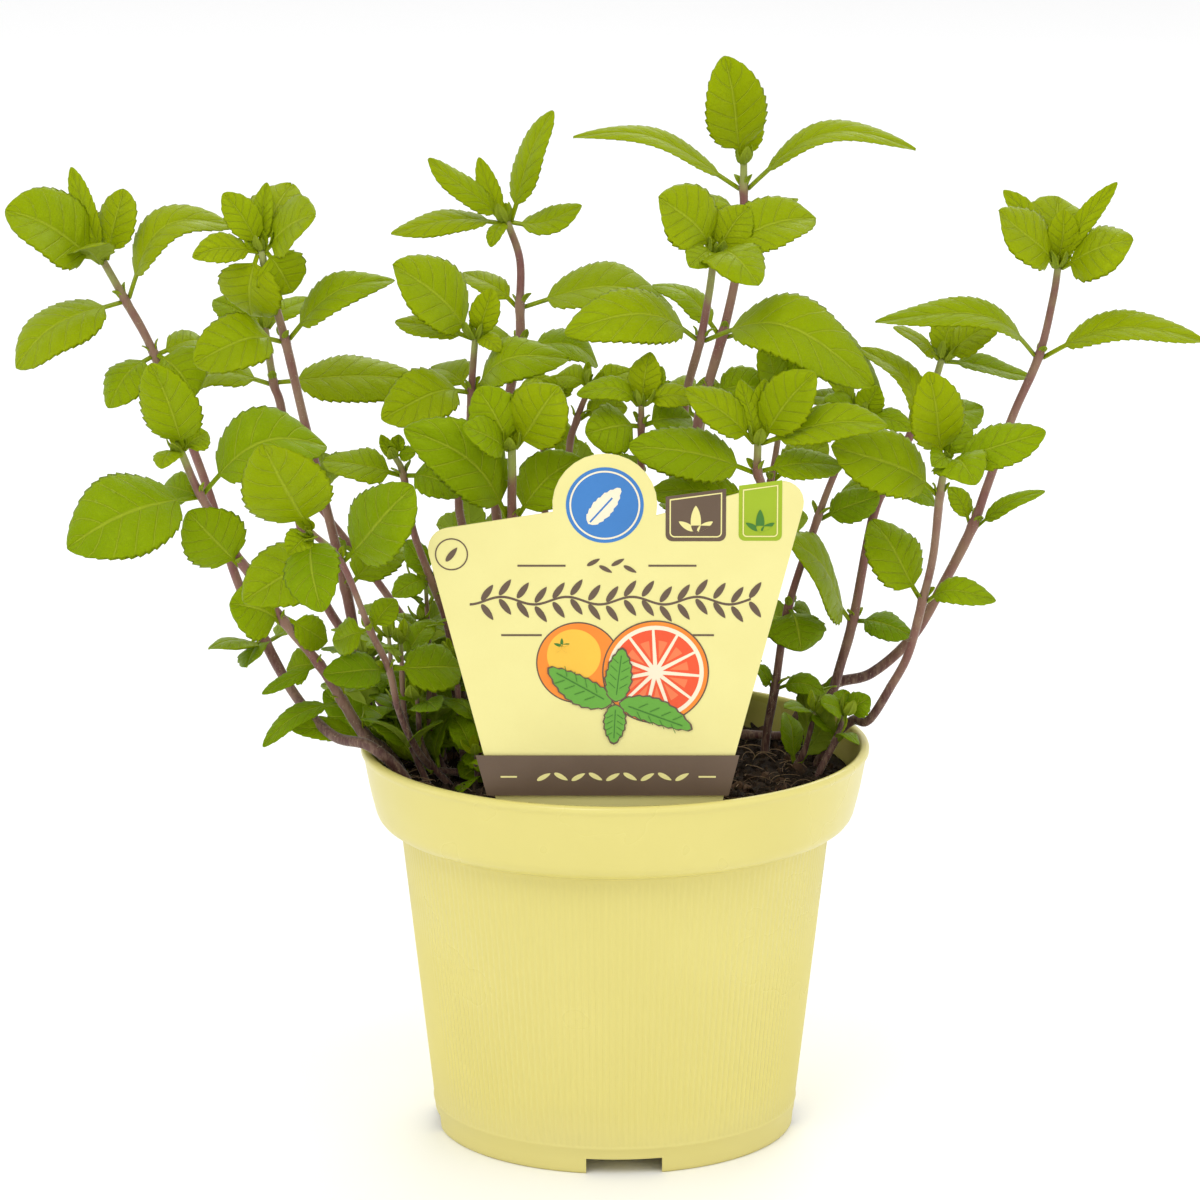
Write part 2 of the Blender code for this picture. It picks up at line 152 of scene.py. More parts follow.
class Tree:
    """A node tree that is written in Python."""

    def __init__(self, tree):
        self.tree = tree

    def node(self, kind, settings=None, sockets=None, out=0):
        """Adds a node, and gives back one of its outputs."""
        made = self.tree.nodes.new(kind)
        for name, value in (settings or {}).items():
            if name == "stops":
                made.color_ramp.elements.remove(made.color_ramp.elements[1])
                for k, (place, colour) in enumerate(value):
                    stop = made.color_ramp.elements.new(place) if k else made.color_ramp.elements[0]
                    stop.position = place
                    stop.color = (*colour, 1)
            else:
                setattr(made, name, value)
        for name, value in (sockets or {}).items():
            if isinstance(value, Socket):
                self.tree.links.new(value.link, made.inputs[name])
            else:
                made.inputs[name].default_value = value
        return Socket(self, made.outputs[out]) if made.outputs else None

    def axis(self, vector, number):
        """One of the three numbers of a vector."""
        return self.node("ShaderNodeSeparateXYZ", None, {0: vector}, out=number)

    def vector(self, x=0.0, y=0.0, z=0.0):
        """A vector from three numbers."""
        return self.node("ShaderNodeCombineXYZ", None, {0: x, 1: y, 2: z})

    def shader(self, sockets):
        """A Principled shader."""
        return self.node("ShaderNodeBsdfPrincipled", None, sockets)

    def vector_math(self, operation, first, second):
        """Two vectors added, subtracted or multiplied, number by number."""
        return self.node("ShaderNodeVectorMath", {"operation": operation}, {0: first, 1: second})

    def random(self, low, high):
        """A random number, or vector, for each instance."""
        kind, first = ("FLOAT_VECTOR", 0) if isinstance(high, tuple) else ("FLOAT", 2)
        sockets = {first: low, first + 1: high}
        return self.node("FunctionNodeRandomValue", {"data_type": kind}, sockets, out=first // 2)

    def mix(self, factor, first, second):
        """A colour between two others."""
        first, second = ((*c, 1) if isinstance(c, tuple) else c for c in (first, second))
        sockets = {"Factor": factor, 6: first, 7: second}
        return self.node("ShaderNodeMix", {"data_type": "RGBA"}, sockets, out=2)

    def noise(self, place, scale, detail=3.0, roughness=0.5):
        """Cloudy noise between about 0.3 and 0.7."""
        sockets = {"Vector": place, "Scale": scale, "Detail": detail, "Roughness": roughness}
        return self.node("ShaderNodeTexNoise", {"normalize": True}, sockets)

    def place(self):
        """Where a point is on the object, in metres."""
        return self.node("ShaderNodeTexCoord", out=3)

    def bump(self, height, distance, strength=1.0):
        """A normal that is bent by a height, with its full step in metres."""
        sockets = {"Height": height, "Distance": distance, "Strength": strength}
        return self.node("ShaderNodeBump", None, sockets)


def finish(name, make):
    """A material whose tree is written by a function that returns its shader."""
    made = bpy.data.materials.new(name)
    made.use_nodes = True
    made.node_tree.nodes.clear()
    tree = Tree(made.node_tree)
    tree.node("ShaderNodeOutputMaterial", None, {"Surface": make(tree)})
    return made


# %% [markdown]
# Three helpers turn numbers into finished pieces. Each piece keeps its place in its own mesh, rides on the
# model's one body, gets its material, and hides any parts of the model that it stands for.


# %% Pieces
PIECES = {}


def piece(name, mesh, look, nodes=()):
    """A finished piece of the object, which replaces the named parts of the model."""
    made = bpy.data.objects.new(name, mesh)
    scene.collection.objects.link(made)
    mesh.materials.clear()
    mesh.materials.append(look)
    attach(made, "root")
    if nodes:
        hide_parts(*nodes)
    PIECES[name] = made
    return made


def plain_mesh(made, name):
    """The mesh of an object with its modifiers applied. The object itself is removed."""
    graph = bpy.context.evaluated_depsgraph_get()
    mesh = bpy.data.meshes.new_from_object(made.evaluated_get(graph), depsgraph=graph)
    mesh.transform(made.matrix_world)
    bpy.data.objects.remove(made)
    mesh.name = name
    return mesh


def temporary(name, data):
    """An object that is only used to make a mesh."""
    made = bpy.data.objects.new(name, data)
    scene.collection.objects.link(made)
    return made

# %% [markdown]
# ## The plant, stem by stem
# Each row is one stem: its radius at the foot and at the tip, the points that it passes, and its leaves. The
# stems and the large leaves stand exactly where the model has them. A leaf is the number of the point
# it grows from, its tip as right, back and up from there, its width, and how far it arches.

# %% Stems and leaves
STEMS = {
    "far_left": (1.6, 1.0, [
        (-45.5, -14.8, 78), (-50, -17, 90), (-58, -18, 98), (-67, -12, 99), (-76, -3, 106), (-84, 5, 118),
        (-91, 9, 133), (-99, 12, 158), (-110, 15, 186), (-117, 17, 199), (-122, 18, 208),
    ], [
        (10, -22.4, -7, 13.5, 21, 0.08), (10, -8, 8, 21.5, 6, 0.05), (10, 5, 3, 17, 12, 0.05),
        (10, -6, -11, 4, 13, 0.15), (9, -25.5, -9, -15, 18, 0.15), (9, 26, 4, 17, 13, 0.36),
        (8, -10.5, -8, -11.5, 12, 0.15), (8, 10, -7, -9, 14, 0.2), (5, -13, -8, 0, 12, 0.1),
        (5, 14, 8, 0, 12, 0.15), (8, 13, 6, 1, 12, 0.2), (5, -4, -8, -4.5, 11, 0.1),
    ]),
    "front_left": (1.5, 1.0, [
        (-46.9, -2.5, 78), (-53, -4, 91), (-60, -6, 98), (-65, -9, 107), (-70, -14, 117), (-78, -20, 129),
        (-87, -26, 144), (-96, -33, 162), (-100, -37, 173),
    ], [
        (5, -12, -8, 6, 15, 0.15), (5, 10, 8, -7, 8, 0.15), (6, -12, -7, 14, 15, 0.1),
        (6, 9, 8, -10, 9, 0.15), (7, -30, -12, -10, 22, 0.15), (7, 29, 7, 10, 18, 0.3),
        (7, -9, 9, 0, 8, 0.1), (8, -6, -8, 22, 14, 0.06), (8, 6, 3, 4, 8, 0.1), (8, -4, -9, -2, 7, 0.2),
        (4, -8, 3, -2, 9, 0.1), (3, -18.5, -6, -10, 6, 0.15), (2, -17, -4, 2, 6, 0.1),
        (4, -13.5, -3, -6.5, 4, 0.1),
    ]),
    "front": (1.1, 0.8, [
        (-29.0, -0.7, 78), (-31, -2, 86), (-37, -5, 88), (-43, -9, 90), (-47, -14, 96), (-51, -20, 107),
        (-53, -27, 119), (-57, -34, 130), (-63, -46, 149), (-69, -60, 159),
    ], [
        (6, -15, -9, 1, 9, 0.15), (6, 17, 9, -2, 12, 0.12), (7, -9, 5, -4, 9, 0.1), (7, 6, 2, 7, 7, 0.1),
        (8, 17, -6, 19, 18, 0.1), (8, -22, -10, -7, 17, 0.12), (9, -10, -12, 23, 20, 0.08),
        (9, 3, -15, -15, 13, 0.15), (9, -5, -5, -4, 7, 0.2),
    ]),
    "left": (1.7, 1.0, [
        (-46.7, 17.3, 78), (-50, 18, 86), (-53, 19, 94), (-57, 19, 100), (-61, 18, 107), (-65, 15, 129),
        (-68, 12, 144), (-74, 6, 172), (-78, 2, 192), (-82, -1, 208), (-83, -2, 214),
    ], [
        (5, 14, 9, 8, 12, 0.12), (8, 26, 1, 14, 11, 0.22), (8, -21, -9, -4, 16, 0.22),
        (10, 13, -9, 10, 17, 0.05), (10, 7, 2, -10.5, 13, 0.15), (10, 1, 7, 15, 5, 0.05),
        (10, -9, 4, 13, 8, 0.1), (10, 6.5, 14, 13.5, 14, 0.1), (10, -16, -4, -1, 8, 0.12),
        (10, -3, 5, -16.5, 17, 0.2),
    ]),
    "left_back": (1.5, 1.0, [
        (-39.8, 27.8, 78), (-47, 31, 94), (-55, 32, 103), (-64, 31, 111), (-72, 31, 124), (-77, 32, 142),
        (-81, 36, 168), (-83, 37, 175), (-85, 39, 188),
    ], [
        (7, -22, 4, -6, 12, 0.3), (7, 35, 3, 0, 16, 0.07), (8, -13, 6, 6, 9, 0.1), (8, 11, 8, 6, 9, 0.1),
    ]),
    "centre_left": (1.4, 0.9, [
        (-18.2, 14.0, 78), (-19, 14, 91), (-28, 10, 117), (-37, 5, 149), (-35, 3, 160), (-34, 0, 180),
        (-33, -2, 193),
    ], [
        (5, -21, -9, -5, 15, 0.18), (5, -10, 13, 3, 11, 0.15), (5, 23, -7, 9, 14, 0.34),
        (6, -19, -8, 19, 18, 0.08), (6, 4, 0, 12, 7, 0.1), (6, 6, -6, -2, 5, 0.2), (6, -19, 6, 3, 8, 0.1),
    ]),
    "tall_centre": (1.6, 1.0, [
        (-12.2, 26.0, 78), (-13, 26, 91), (-23, 26, 118), (-29, 28, 148), (-25, 32, 176), (-23, 34, 185),
        (-23, 36, 194), (-23, 38, 205), (-26, 40, 214),
    ], [
        (5, -8, -12, 2, 9, 0.15), (5, 19, 3, -6, 12, 0.2), (6, -14, 8, 7, 8, 0.15), (6, 37, 5, -1, 17, 0.2),
        (8, -28, -6, -2, 9, 0.08), (8, -19, -4, 16, 8, 0.05), (8, 11, 1, 27, 10, 0.05),
        (8, -7, 5, 15, 5, 0.05), (8, 18, 0, 4, 9, -0.1), (8, -4, -7, -5, 5, 0.2),
    ]),
    "centre_right": (1.4, 1.0, [
        (8.0, 8.0, 78), (8, 8, 93), (11, 4, 133), (16, -4, 174), (17, -6, 182), (20, -8, 194),
        (22, -10, 206), (23, -12, 215),
    ], [
        (5, -32, -14, 4, 15, 0.24), (5, 40, -7, -10, 18, 0.3), (7, -13, -5, 14, 17, 0.08),
        (7, 8, 5, 10, 10, 0.08), (7, -6, -12, -1, 8, 0.15), (7, 10, -15, -5, 15, 0.25),
        (7, 24, 8, 7, 15, 0.1), (7, -2, 9, 12, 12, 0.08),
    ]),
    "tallest": (1.7, 1.0, [
        (8.0, 30.0, 78), (8, 30, 90), (12, 28, 128), (20, 28, 166), (22, 29, 174), (26, 30, 188),
        (29, 32, 201), (31, 34, 214), (31, 35, 223), (31, 35, 229),
    ], [
        (4, -11, 4, 0, 10, 0.15), (4, 16, 4, -1, 11, 0.15), (5, -17, 6, 11, 10, 0.2),
        (5, 39, 2, -16, 13, 0.3), (7, -13, -4, 8, 7, 0.15), (7, 13, -2, 7, 8, 0.1),
        (8, -41, -5, 13, 8, 0.16), (8, 41, -5, 10, 9, 0.25), (9, -5, -8, 27, 15, 0.05),
        (9, 2, 8, 13, 8, 0.05),
    ]),
    "short_back": (1.2, 0.8, [
        (-4.0, 16.0, 78), (-4, 16, 91), (-10, 12, 131), (-11, 8, 162), (-9, 7, 172), (-6, 6, 180),
    ], [
        (5, 10, 4, 3, 7, 0.15), (5, -8, 2, 2, 8, 0.15), (4, 12, 3, 2, 7, 0.15),
    ]),
    "short_centre": (1.2, 0.8, [
        (0.2, -6.0, 78), (1, -6, 96), (6, -12, 142), (6, -18, 165), (6, -21, 176), (6, -22, 181),
    ], [
        (4, -13, -5, -1, 13, 0.15), (4, 12, 3, 1, 11, 0.15), (5, -15, -3, 3, 7, 0.3), (5, 13, 0, 1, 7, 0.2),
        (5, 2, 3, 12, 8, 0.05), (5, 5, 6, 8, 6, 0.05),
    ]),
    "label_right": (1.4, 1.0, [
        (18.2, -10.0, 78), (19, -10, 97), (31, -18, 133), (34, -24, 159), (33, -26, 166), (33, -27, 173),
    ], [
        (4, -30, -5, 7, 14, 0.1), (3, -26, 2, 1, 10, 0.15), (4, 20, 6, 0, 9, 0.1),
        (5, -17, -2, 13, 11, 0.08), (5, 13, -2, 17, 13, 0.05), (5, -4, 5, 14, 6, 0.05),
        (5, 2, 6, 14, 5, 0.05), (5, 30, -4, 5, 11, 0.1),
    ]),
    "right": (1.6, 1.0, [
        (43.6, 20.8, 78), (50, 24, 94), (53, 25, 100), (55, 25, 107), (58, 24, 119), (62, 24, 142),
        (65, 25, 151), (72, 27, 165), (76, 28, 173), (79, 30, 182),
    ], [
        (4, -17, -22, 25, 20, 0.08), (4, 14, -5, -3, 9, 0.15), (6, 13, 5, -5, 7, 0.15),
        (6, -10, 3, -1, 9, 0.15), (7, -13, 2, 20, 9, 0.3), (7, 17.5, 8, 4, 13, 0.1),
        (9, -12, -5, 9, 9, 0.1), (9, 14, -2, 10, 10, 0.1), (9, 22, 3, -5, 8, 0.05), (9, 3, 7, 9, 8, 0.1),
    ]),
    "right_thin": (1.3, 0.9, [
        (36.2, 22.0, 78), (37, 22, 90), (39, 20, 103), (42, 19, 123), (49, 20, 145), (53, 20, 156),
        (59, 19, 170),
    ], [
        (2, -5, -2, 6, 5, 0.15), (2, 12, -3, -1, 6, 0.25), (3, 3, -8, -9, 15, 0.15), (3, 6, 5, -4, 6, 0.1),
        (4, 15, 3, 5, 9, 0.1), (6, -12, 4, 16, 7, 0.05), (6, -9, -6, 5, 8, 0.1), (6, 4, -2, 8, 7, 0.05),
        (6, 12, -7, -2, 7, 0.15), (6, -15, 9, 4, 7, 0.1),
    ]),
    "right_front": (1.5, 1.0, [
        (45.6, 8.8, 78), (51, 8, 91), (57, 6, 98), (61, 3, 99), (66, 0, 108), (70, -3, 117), (73, -7, 131),
        (75, -12, 143), (76, -18, 159), (77, -21, 167),
    ], [
        (6, -12, 6, 18, 14, 0.15), (6, 17, -5, 1, 7, 0.35), (8, -26, -8, 13, 16, 0.12),
        (9, -4.7, -7, 23, 13, 0.05), (9, 23, -3, 8, 11, 0.08), (9, 6, -15, -2, 13, 0.25),
        (9, -4, -13, 2, 7, 0.2), (9, 4, 7, 9, 9, 0.1),
    ]),
    "far_right": (1.8, 1.0, [
        (39.6, 28.8, 78), (46, 32, 94), (54, 31, 101), (63, 30, 104), (73, 28, 114), (81, 27, 129),
        (87, 26, 142), (90, 26, 151), (96, 25, 169), (102, 24, 184), (105, 23, 198), (106, 22, 206),
    ], [
        (6, 17, -3, 9, 5, 0.25), (6, -6, 2, 9, 6, 0.1), (9, -40, -10, 10, 10, 0.24),
        (9, 39.3, -3, 4, 10, 0.2), (11, -15, -8, 15, 15, 0.08), (11, -13, 4, 18, 7, 0.05),
        (11, 1, 13, 15, 15, 0.1), (11, 14, 3, 20, 5, 0.05), (11, 17, -9, 8, 16, 0.1),
        (11, 1, 0, 14, 8, 0.05),
    ]),
    "rim_shoot": (1.1, 0.8, [
        (45.4, -4.0, 78), (49, -4, 88), (53, -3, 96), (55, -3, 102),
    ], [
        (3, -6, -4, 4, 7, 0.1), (3, 6, 0, 4, 7, 0.1), (3, 0, 4, 5, 6, 0.1), (2, 5, -6, 0, 6, 0.3),
        (2, -6, 5, 6, 6, 0.1),
    ]),
    "label_left": (1.3, 0.8, [
        (-33.5, 10.0, 78), (-35, 10, 91), (-40, 6, 121), (-44, 2, 134), (-48, -2, 147), (-50, -6, 161),
        (-52, -8, 166),
    ], [
        (5, -19, 2, 3, 11, 0.15), (5, 14, -3, -4, 10, 0.2), (3, -9, -5, -3, 7, 0.15), (3, -6, 6, 8, 6, 0.1),
        (6, 1, 1, 5, 4, 0.1), (6, 5, -2, 1, 4, 0.1),
    ]),
    "label_top": (1.5, 1.1, [
        (-17.2, -6.0, 78), (-18, -6, 96), (-22, -15, 128), (-24, -23, 154), (-24, -27, 165),
        (-24, -29, 172),
    ], [
        (3, -25, -7, 23, 16, 0.2), (3, 16, 3, 14, 13, 0.12), (5, -11, -8, 7, 10, 0.1),
        (5, -8, 2, 14, 12, 0.08), (5, 11, -1, 15, 16, 0.08), (5, 6, 13, 14, 9, 0.08),
    ]),
    "mid_back": (1.2, 0.8, [
        (-2.4, 36.8, 78), (-4, 36, 92), (-13, 26, 127), (-17, 18, 148), (-17, 14, 165), (-16, 13, 175),
    ], [
        (5, 3, 3, 6, 8, 0.1), (5, -5, 4, 5, 8, 0.1), (4, 8, 3, -1, 11, 0.15),
    ]),
    "right_back": (1.2, 0.8, [
        (20.2, 40.0, 78), (21, 40, 90), (31, 37, 121), (38, 35, 151), (41, 33, 172),
    ], [
        (4, -5, -3, 15, 9, 0.05), (4, 4, 3, 13, 9, 0.05), (3, 14, 8, 8, 10, 0.12),
    ]),
    "back_far_left": (1.4, 0.9, [
        (-33.4, 35.2, 78), (-39, 40, 94), (-50, 48, 110), (-64, 56, 128), (-76, 61, 142),
    ], [
        (2, -14, 12, 2, 11, 0.2), (2, 12, -3, 6, 9, 0.15), (3, -9, -14, -2, 10, 0.2),
        (3, 10, 16, 2, 12, 0.2), (4, -19, 6, 3, 11, 0.15), (4, 9, 14, 6, 11, 0.1), (4, 4, -6, 12, 9, 0.05),
        (4, -8, 8, 14, 8, 0.05),
    ]),
    "back_left": (1.4, 0.9, [
        (-23.1, 41.1, 78), (-27, 45, 92), (-31, 54, 106), (-34, 64, 119), (-36, 71, 126),
    ], [
        (2, -17, 3, 2, 11, 0.2), (2, 15, 6, 3, 11, 0.2), (3, -3, 15, -3, 12, 0.25), (3, 9, -8, 8, 8, 0.1),
        (4, -9, 10, 4, 12, 0.15), (4, 13, 11, 4, 12, 0.15), (4, -1, 4, 13, 8, 0.05), (4, 2, 16, 3, 11, 0.2),
    ]),
    "back_centre": (1.5, 0.9, [
        (-8.0, 45.9, 78), (-8, 49, 92), (-8, 58, 110), (-8, 67, 129), (-8, 73, 140),
    ], [
        (2, -16, 6, 4, 12, 0.2), (2, 16, 6, 4, 12, 0.2), (3, -1, 18, -2, 13, 0.25),
        (4, -16, 6, 5, 12, 0.15), (4, 16, 5, 5, 12, 0.15), (4, 1, 14, 9, 12, 0.1), (4, -2, -2, 14, 8, 0.05),
    ]),
    "back_right": (1.4, 0.9, [
        (10.2, 45.7, 78), (11, 48, 92), (15, 55, 120), (20, 63, 147), (22, 67, 160),
    ], [
        (2, -14, 8, 3, 11, 0.2), (2, 17, 4, 3, 11, 0.2), (3, 4, 19, -4, 13, 0.25), (3, -8, -10, 6, 9, 0.1),
        (4, -16, 5, 5, 12, 0.15), (4, 15, 8, 6, 12, 0.15), (4, 1, -6, 12, 8, 0.05), (4, 3, 15, 6, 10, 0.15),
    ]),
    "back_far_right": (1.4, 0.9, [
        (24.7, 41.3, 78), (27, 46, 92), (29, 56, 108), (31, 65, 121), (33, 71, 128),
    ], [
        (2, 17, 4, 2, 11, 0.2), (2, -14, 8, 3, 10, 0.2), (3, 5, 16, -3, 12, 0.25), (3, -8, -9, 7, 8, 0.1),
        (4, 16, 8, 4, 12, 0.15), (4, -13, 9, 5, 12, 0.15), (4, 1, -2, 13, 8, 0.05), (4, 1, 16, 4, 10, 0.2),
    ]),
}
print(len(STEMS), "stems with", sum(len(row[3]) for row in STEMS.values()), "leaves")

# %% [markdown]
# A smooth line through a few points is all that a stem needs. A Catmull-Rom spline passes through every
# point, so the points can be read straight off the plant.


# %% Smooth lines
def smooth(route, parts):
    """A Catmull-Rom spline through all the points of a route."""
    points = np.array(route, float)
    points = np.vstack([2 * points[0] - points[1], points, 2 * points[-1] - points[-2]])
    line = []
    for k in range(1, len(points) - 2):
        before, start, end, after = points[k - 1 : k + 3]
        for t in np.arange(parts) / parts:
            line.append(
                start
                + (end - before) * t / 2
                + (2 * before - 5 * start + 4 * end - after) * t**2 / 2
                + (3 * start - before - 3 * end + after) * t**3 / 2
            )
    line.append(points[-2])
    return np.array(line)


def unit(vector):
    """The same direction, one long. It takes one vector or a list of them."""
    return vector / np.linalg.norm(vector, axis=-1, keepdims=True)


# %% [markdown]
# Leaves and stems are both tubes: rings of points along a line, joined by four-sided faces and closed at the
# ends. This collector gathers many tubes into one mesh, with a UV map and three numbers for each point that
# the materials read, such as the leaf's age.


# %% Collect tubes
class Tubes:
    """Gathers closed tubes into one mesh."""

    def __init__(self):
        self.points, self.faces, self.uvs, self.data, self.count = [], [], [], [], 0

    def add(self, rings, uv, data):
        """rings is (rows, round, 3) in millimetres, and goes anticlockwise seen from its far end."""
        rows, around = rings.shape[:2]
        index = self.count + np.arange(rows * around).reshape(rows, around)
        turned = np.roll(index, -1, axis=1)
        quads = np.stack([index[:-1], turned[:-1], turned[1:], index[1:]], axis=-1).reshape(-1, 4)
        self.faces += quads.tolist() + [index[0][::-1].tolist(), index[-1].tolist()]
        self.points.append(rings.reshape(-1, 3) * MM)
        self.uvs.append(uv.reshape(-1, 2))
        self.data.append(data.reshape(-1, 3))
        self.count += rows * around

    def mesh(self, name):
        """The mesh, with a UV map named along and a vector attribute named about."""
        made = bpy.data.meshes.new(name)
        made.from_pydata(np.concatenate(self.points).tolist(), [], self.faces)
        about = made.attributes.new("about", "FLOAT_VECTOR", "POINT")
        about.data.foreach_set("vector", np.concatenate(self.data).astype(np.float32).ravel())
        corners = np.empty(len(made.loops), np.int32)
        made.loops.foreach_get("vertex_index", corners)
        along = made.uv_layers.new(name="along")
        along.uv.foreach_set("vector", np.concatenate(self.uvs)[corners].astype(np.float32).ravel())
        made.shade_smooth()
        return made


# %% [markdown]
# ## Leaves
# A mint leaf is a short stalk and an egg-shaped blade with a toothed edge. The blade is folded a little along
# its midrib, and between the side veins it swells up like a quilt. Each row of a leaf below is a ring: across
# the upper face, then back across the lower face. The teeth come from a few rows for each tooth, widest just
# before the notch.

# %% Leaf shape
STALK = 0.15  # the part of a leaf's length that is its stalk
FACING = 0.75  # how far the blades turn to the nearest side of the pot, front or back
ACROSS = np.array([-1, -0.9, -0.7, -0.46, -0.24, -0.08, 0, 0.08, 0.24, 0.46, 0.7, 0.9, 1.0])
RING = np.concatenate([ACROSS, ACROSS[-2:0:-1]])  # over the top, then back below
UNDER = np.concatenate([np.zeros(len(ACROSS)), np.ones(len(ACROSS) - 2)])
TOOTH_ROWS = ((0.0, 0.0), (0.5, 0.6), (0.86, 1.0))  # the place in a tooth, and how far it stands out
SIDE_VEINS = 6.0
VEIN_SLANT = 0.24  # how far a side vein runs towards the tip on its way to the edge


def leaf_rows(length):
    """How far along the blade each row is, and how far its teeth stand out."""
    teeth = int(min(16, max(5, round(length / 2.15))))
    rows = [((k + place) / teeth, out) for k in range(teeth) for place, out in TOOTH_ROWS]
    return np.array(rows[1:] + [(1.0, 0.0)])


def add_leaf(tubes, start, tip, top, width, arch, age, rng):
    """One closed leaf from its stalk's foot to its tip."""
    length = np.linalg.norm(tip - start)
    along = unit(tip - start)
    top = unit(top - along * (top @ along))
    side = np.cross(along, top)
    blade, tooth = leaf_rows(length * (1 - STALK)).T
    v = np.concatenate([np.zeros(4), blade])
    u = np.concatenate([STALK * np.array([0, 0.35, 0.7, 1.0]), STALK + (1 - STALK) * blade])
    tooth = np.concatenate([np.zeros(4), tooth])
    stalk_half = min(0.55, width * 0.07)
    half = width / 2 * 2.36 * v**0.55 * (1 - v) ** 0.7
    half = np.sqrt(half**2 + stalk_half**2 * (1 - 0.9 * v))
    sweep, wave, twist = rng.uniform(-0.05, 0.05), rng.uniform(0, 6), rng.normal(0, 0.18)
    fold, cup = rng.uniform(0.08, 0.3), rng.uniform(0.1, 0.28)
    bend = arch * np.sin(math.pi * u) + rng.uniform(-0.03, 0.03) * np.sin(2 * math.pi * u)
    middle = start + np.outer(u, tip - start) + np.outer(bend * length, top)
    middle += np.outer(sweep * length * np.sin(math.pi * u), side)
    run = unit(np.gradient(middle, axis=0))
    turn = twist * u
    rows_side = unit(np.outer(np.cos(turn), side) + np.outer(np.sin(turn), top))
    rows_side = unit(rows_side - run * np.sum(run * rows_side, axis=1, keepdims=True))
    rows_top = np.cross(rows_side, run)
    s, flat = np.abs(RING)[None], v[:, None]
    edge = np.clip((s - 0.7) / 0.3, 0, 1) * tooth[:, None] * min(0.62, width * 0.05) * (1 - flat) ** 0.3
    out = RING[None] * half[:, None] + np.sign(RING)[None] * edge
    quilt = np.abs(np.sin(math.pi * SIDE_VEINS * (flat - VEIN_SLANT * s))) ** 0.8
    swell = quilt * np.sin(math.pi * np.clip(s, 0, 1)) ** 0.7 * np.sqrt(np.clip(flat * (1 - flat) * 4, 0, 1))
    up = (fold * s - cup * s**2) * half[:, None] + 0.038 * width * swell
    up += 0.035 * width * np.sin(wave + 9 * flat * np.sign(RING)[None]) * s**2 * np.sqrt(flat)
    stalk = np.clip(1 - flat * 6, 0, 1)
    thick = (0.2 + 0.45 * np.exp(-((s / 0.1) ** 2)) * (1 - flat)) * np.sqrt(np.clip(1 - s**6, 0, 1)) + 0.05
    thick = thick * (1 - stalk) + stalk * stalk_half * 1.7 * np.sqrt(np.clip(1 - s**2, 0, 1))
    up = up * (1 - stalk) - thick * UNDER[None]
    rings = middle[:, None] + rows_side[:, None] * out[..., None] + rows_top[:, None] * up[..., None]
    uv = np.stack(np.broadcast_arrays(flat, 0.5 + RING[None] / 2), axis=-1)
    data = np.stack(np.broadcast_arrays(age, UNDER[None] + 0 * flat, rng.uniform()), axis=-1)
    tubes.add(rings, uv, data)


def leaf_place(name, leaf):
    """Where a leaf of a stem starts, its tip, and the direction that its upper face turns to."""
    foot_radius, tip_radius, route, _ = STEMS[name]
    index, reach = leaf[0], np.array(leaf[1:4], float)
    node = np.array(route[index], float)
    axis = unit(node - np.array(route[index - 1], float))
    radius = foot_radius + (tip_radius - foot_radius) * index / (len(route) - 1)
    start = node + unit(reach - axis * (reach @ axis)) * (radius * 0.75)
    return start, node + reach, axis + (0, FACING if name.startswith("back") else -FACING, 0)


# %% [markdown]
# The leaf's finish is a story of light. Young leaves at the top are yellow-green and old ones below dark. The
# midrib and the side veins are paler, a net of fine veins lies between them, and the underside is dull and
# grey. Light also comes through a thin leaf, so the glossy shader is mixed with a translucent one.


# %% Leaf finish
YOUNG, GROWN, OLD = (0.345, 0.43, 0.001), (0.275, 0.39, 0.001), (0.17, 0.285, 0.001)
VEIN, UNDERSIDE = (0.48, 0.56, 0.04), (0.36, 0.45, 0.06)


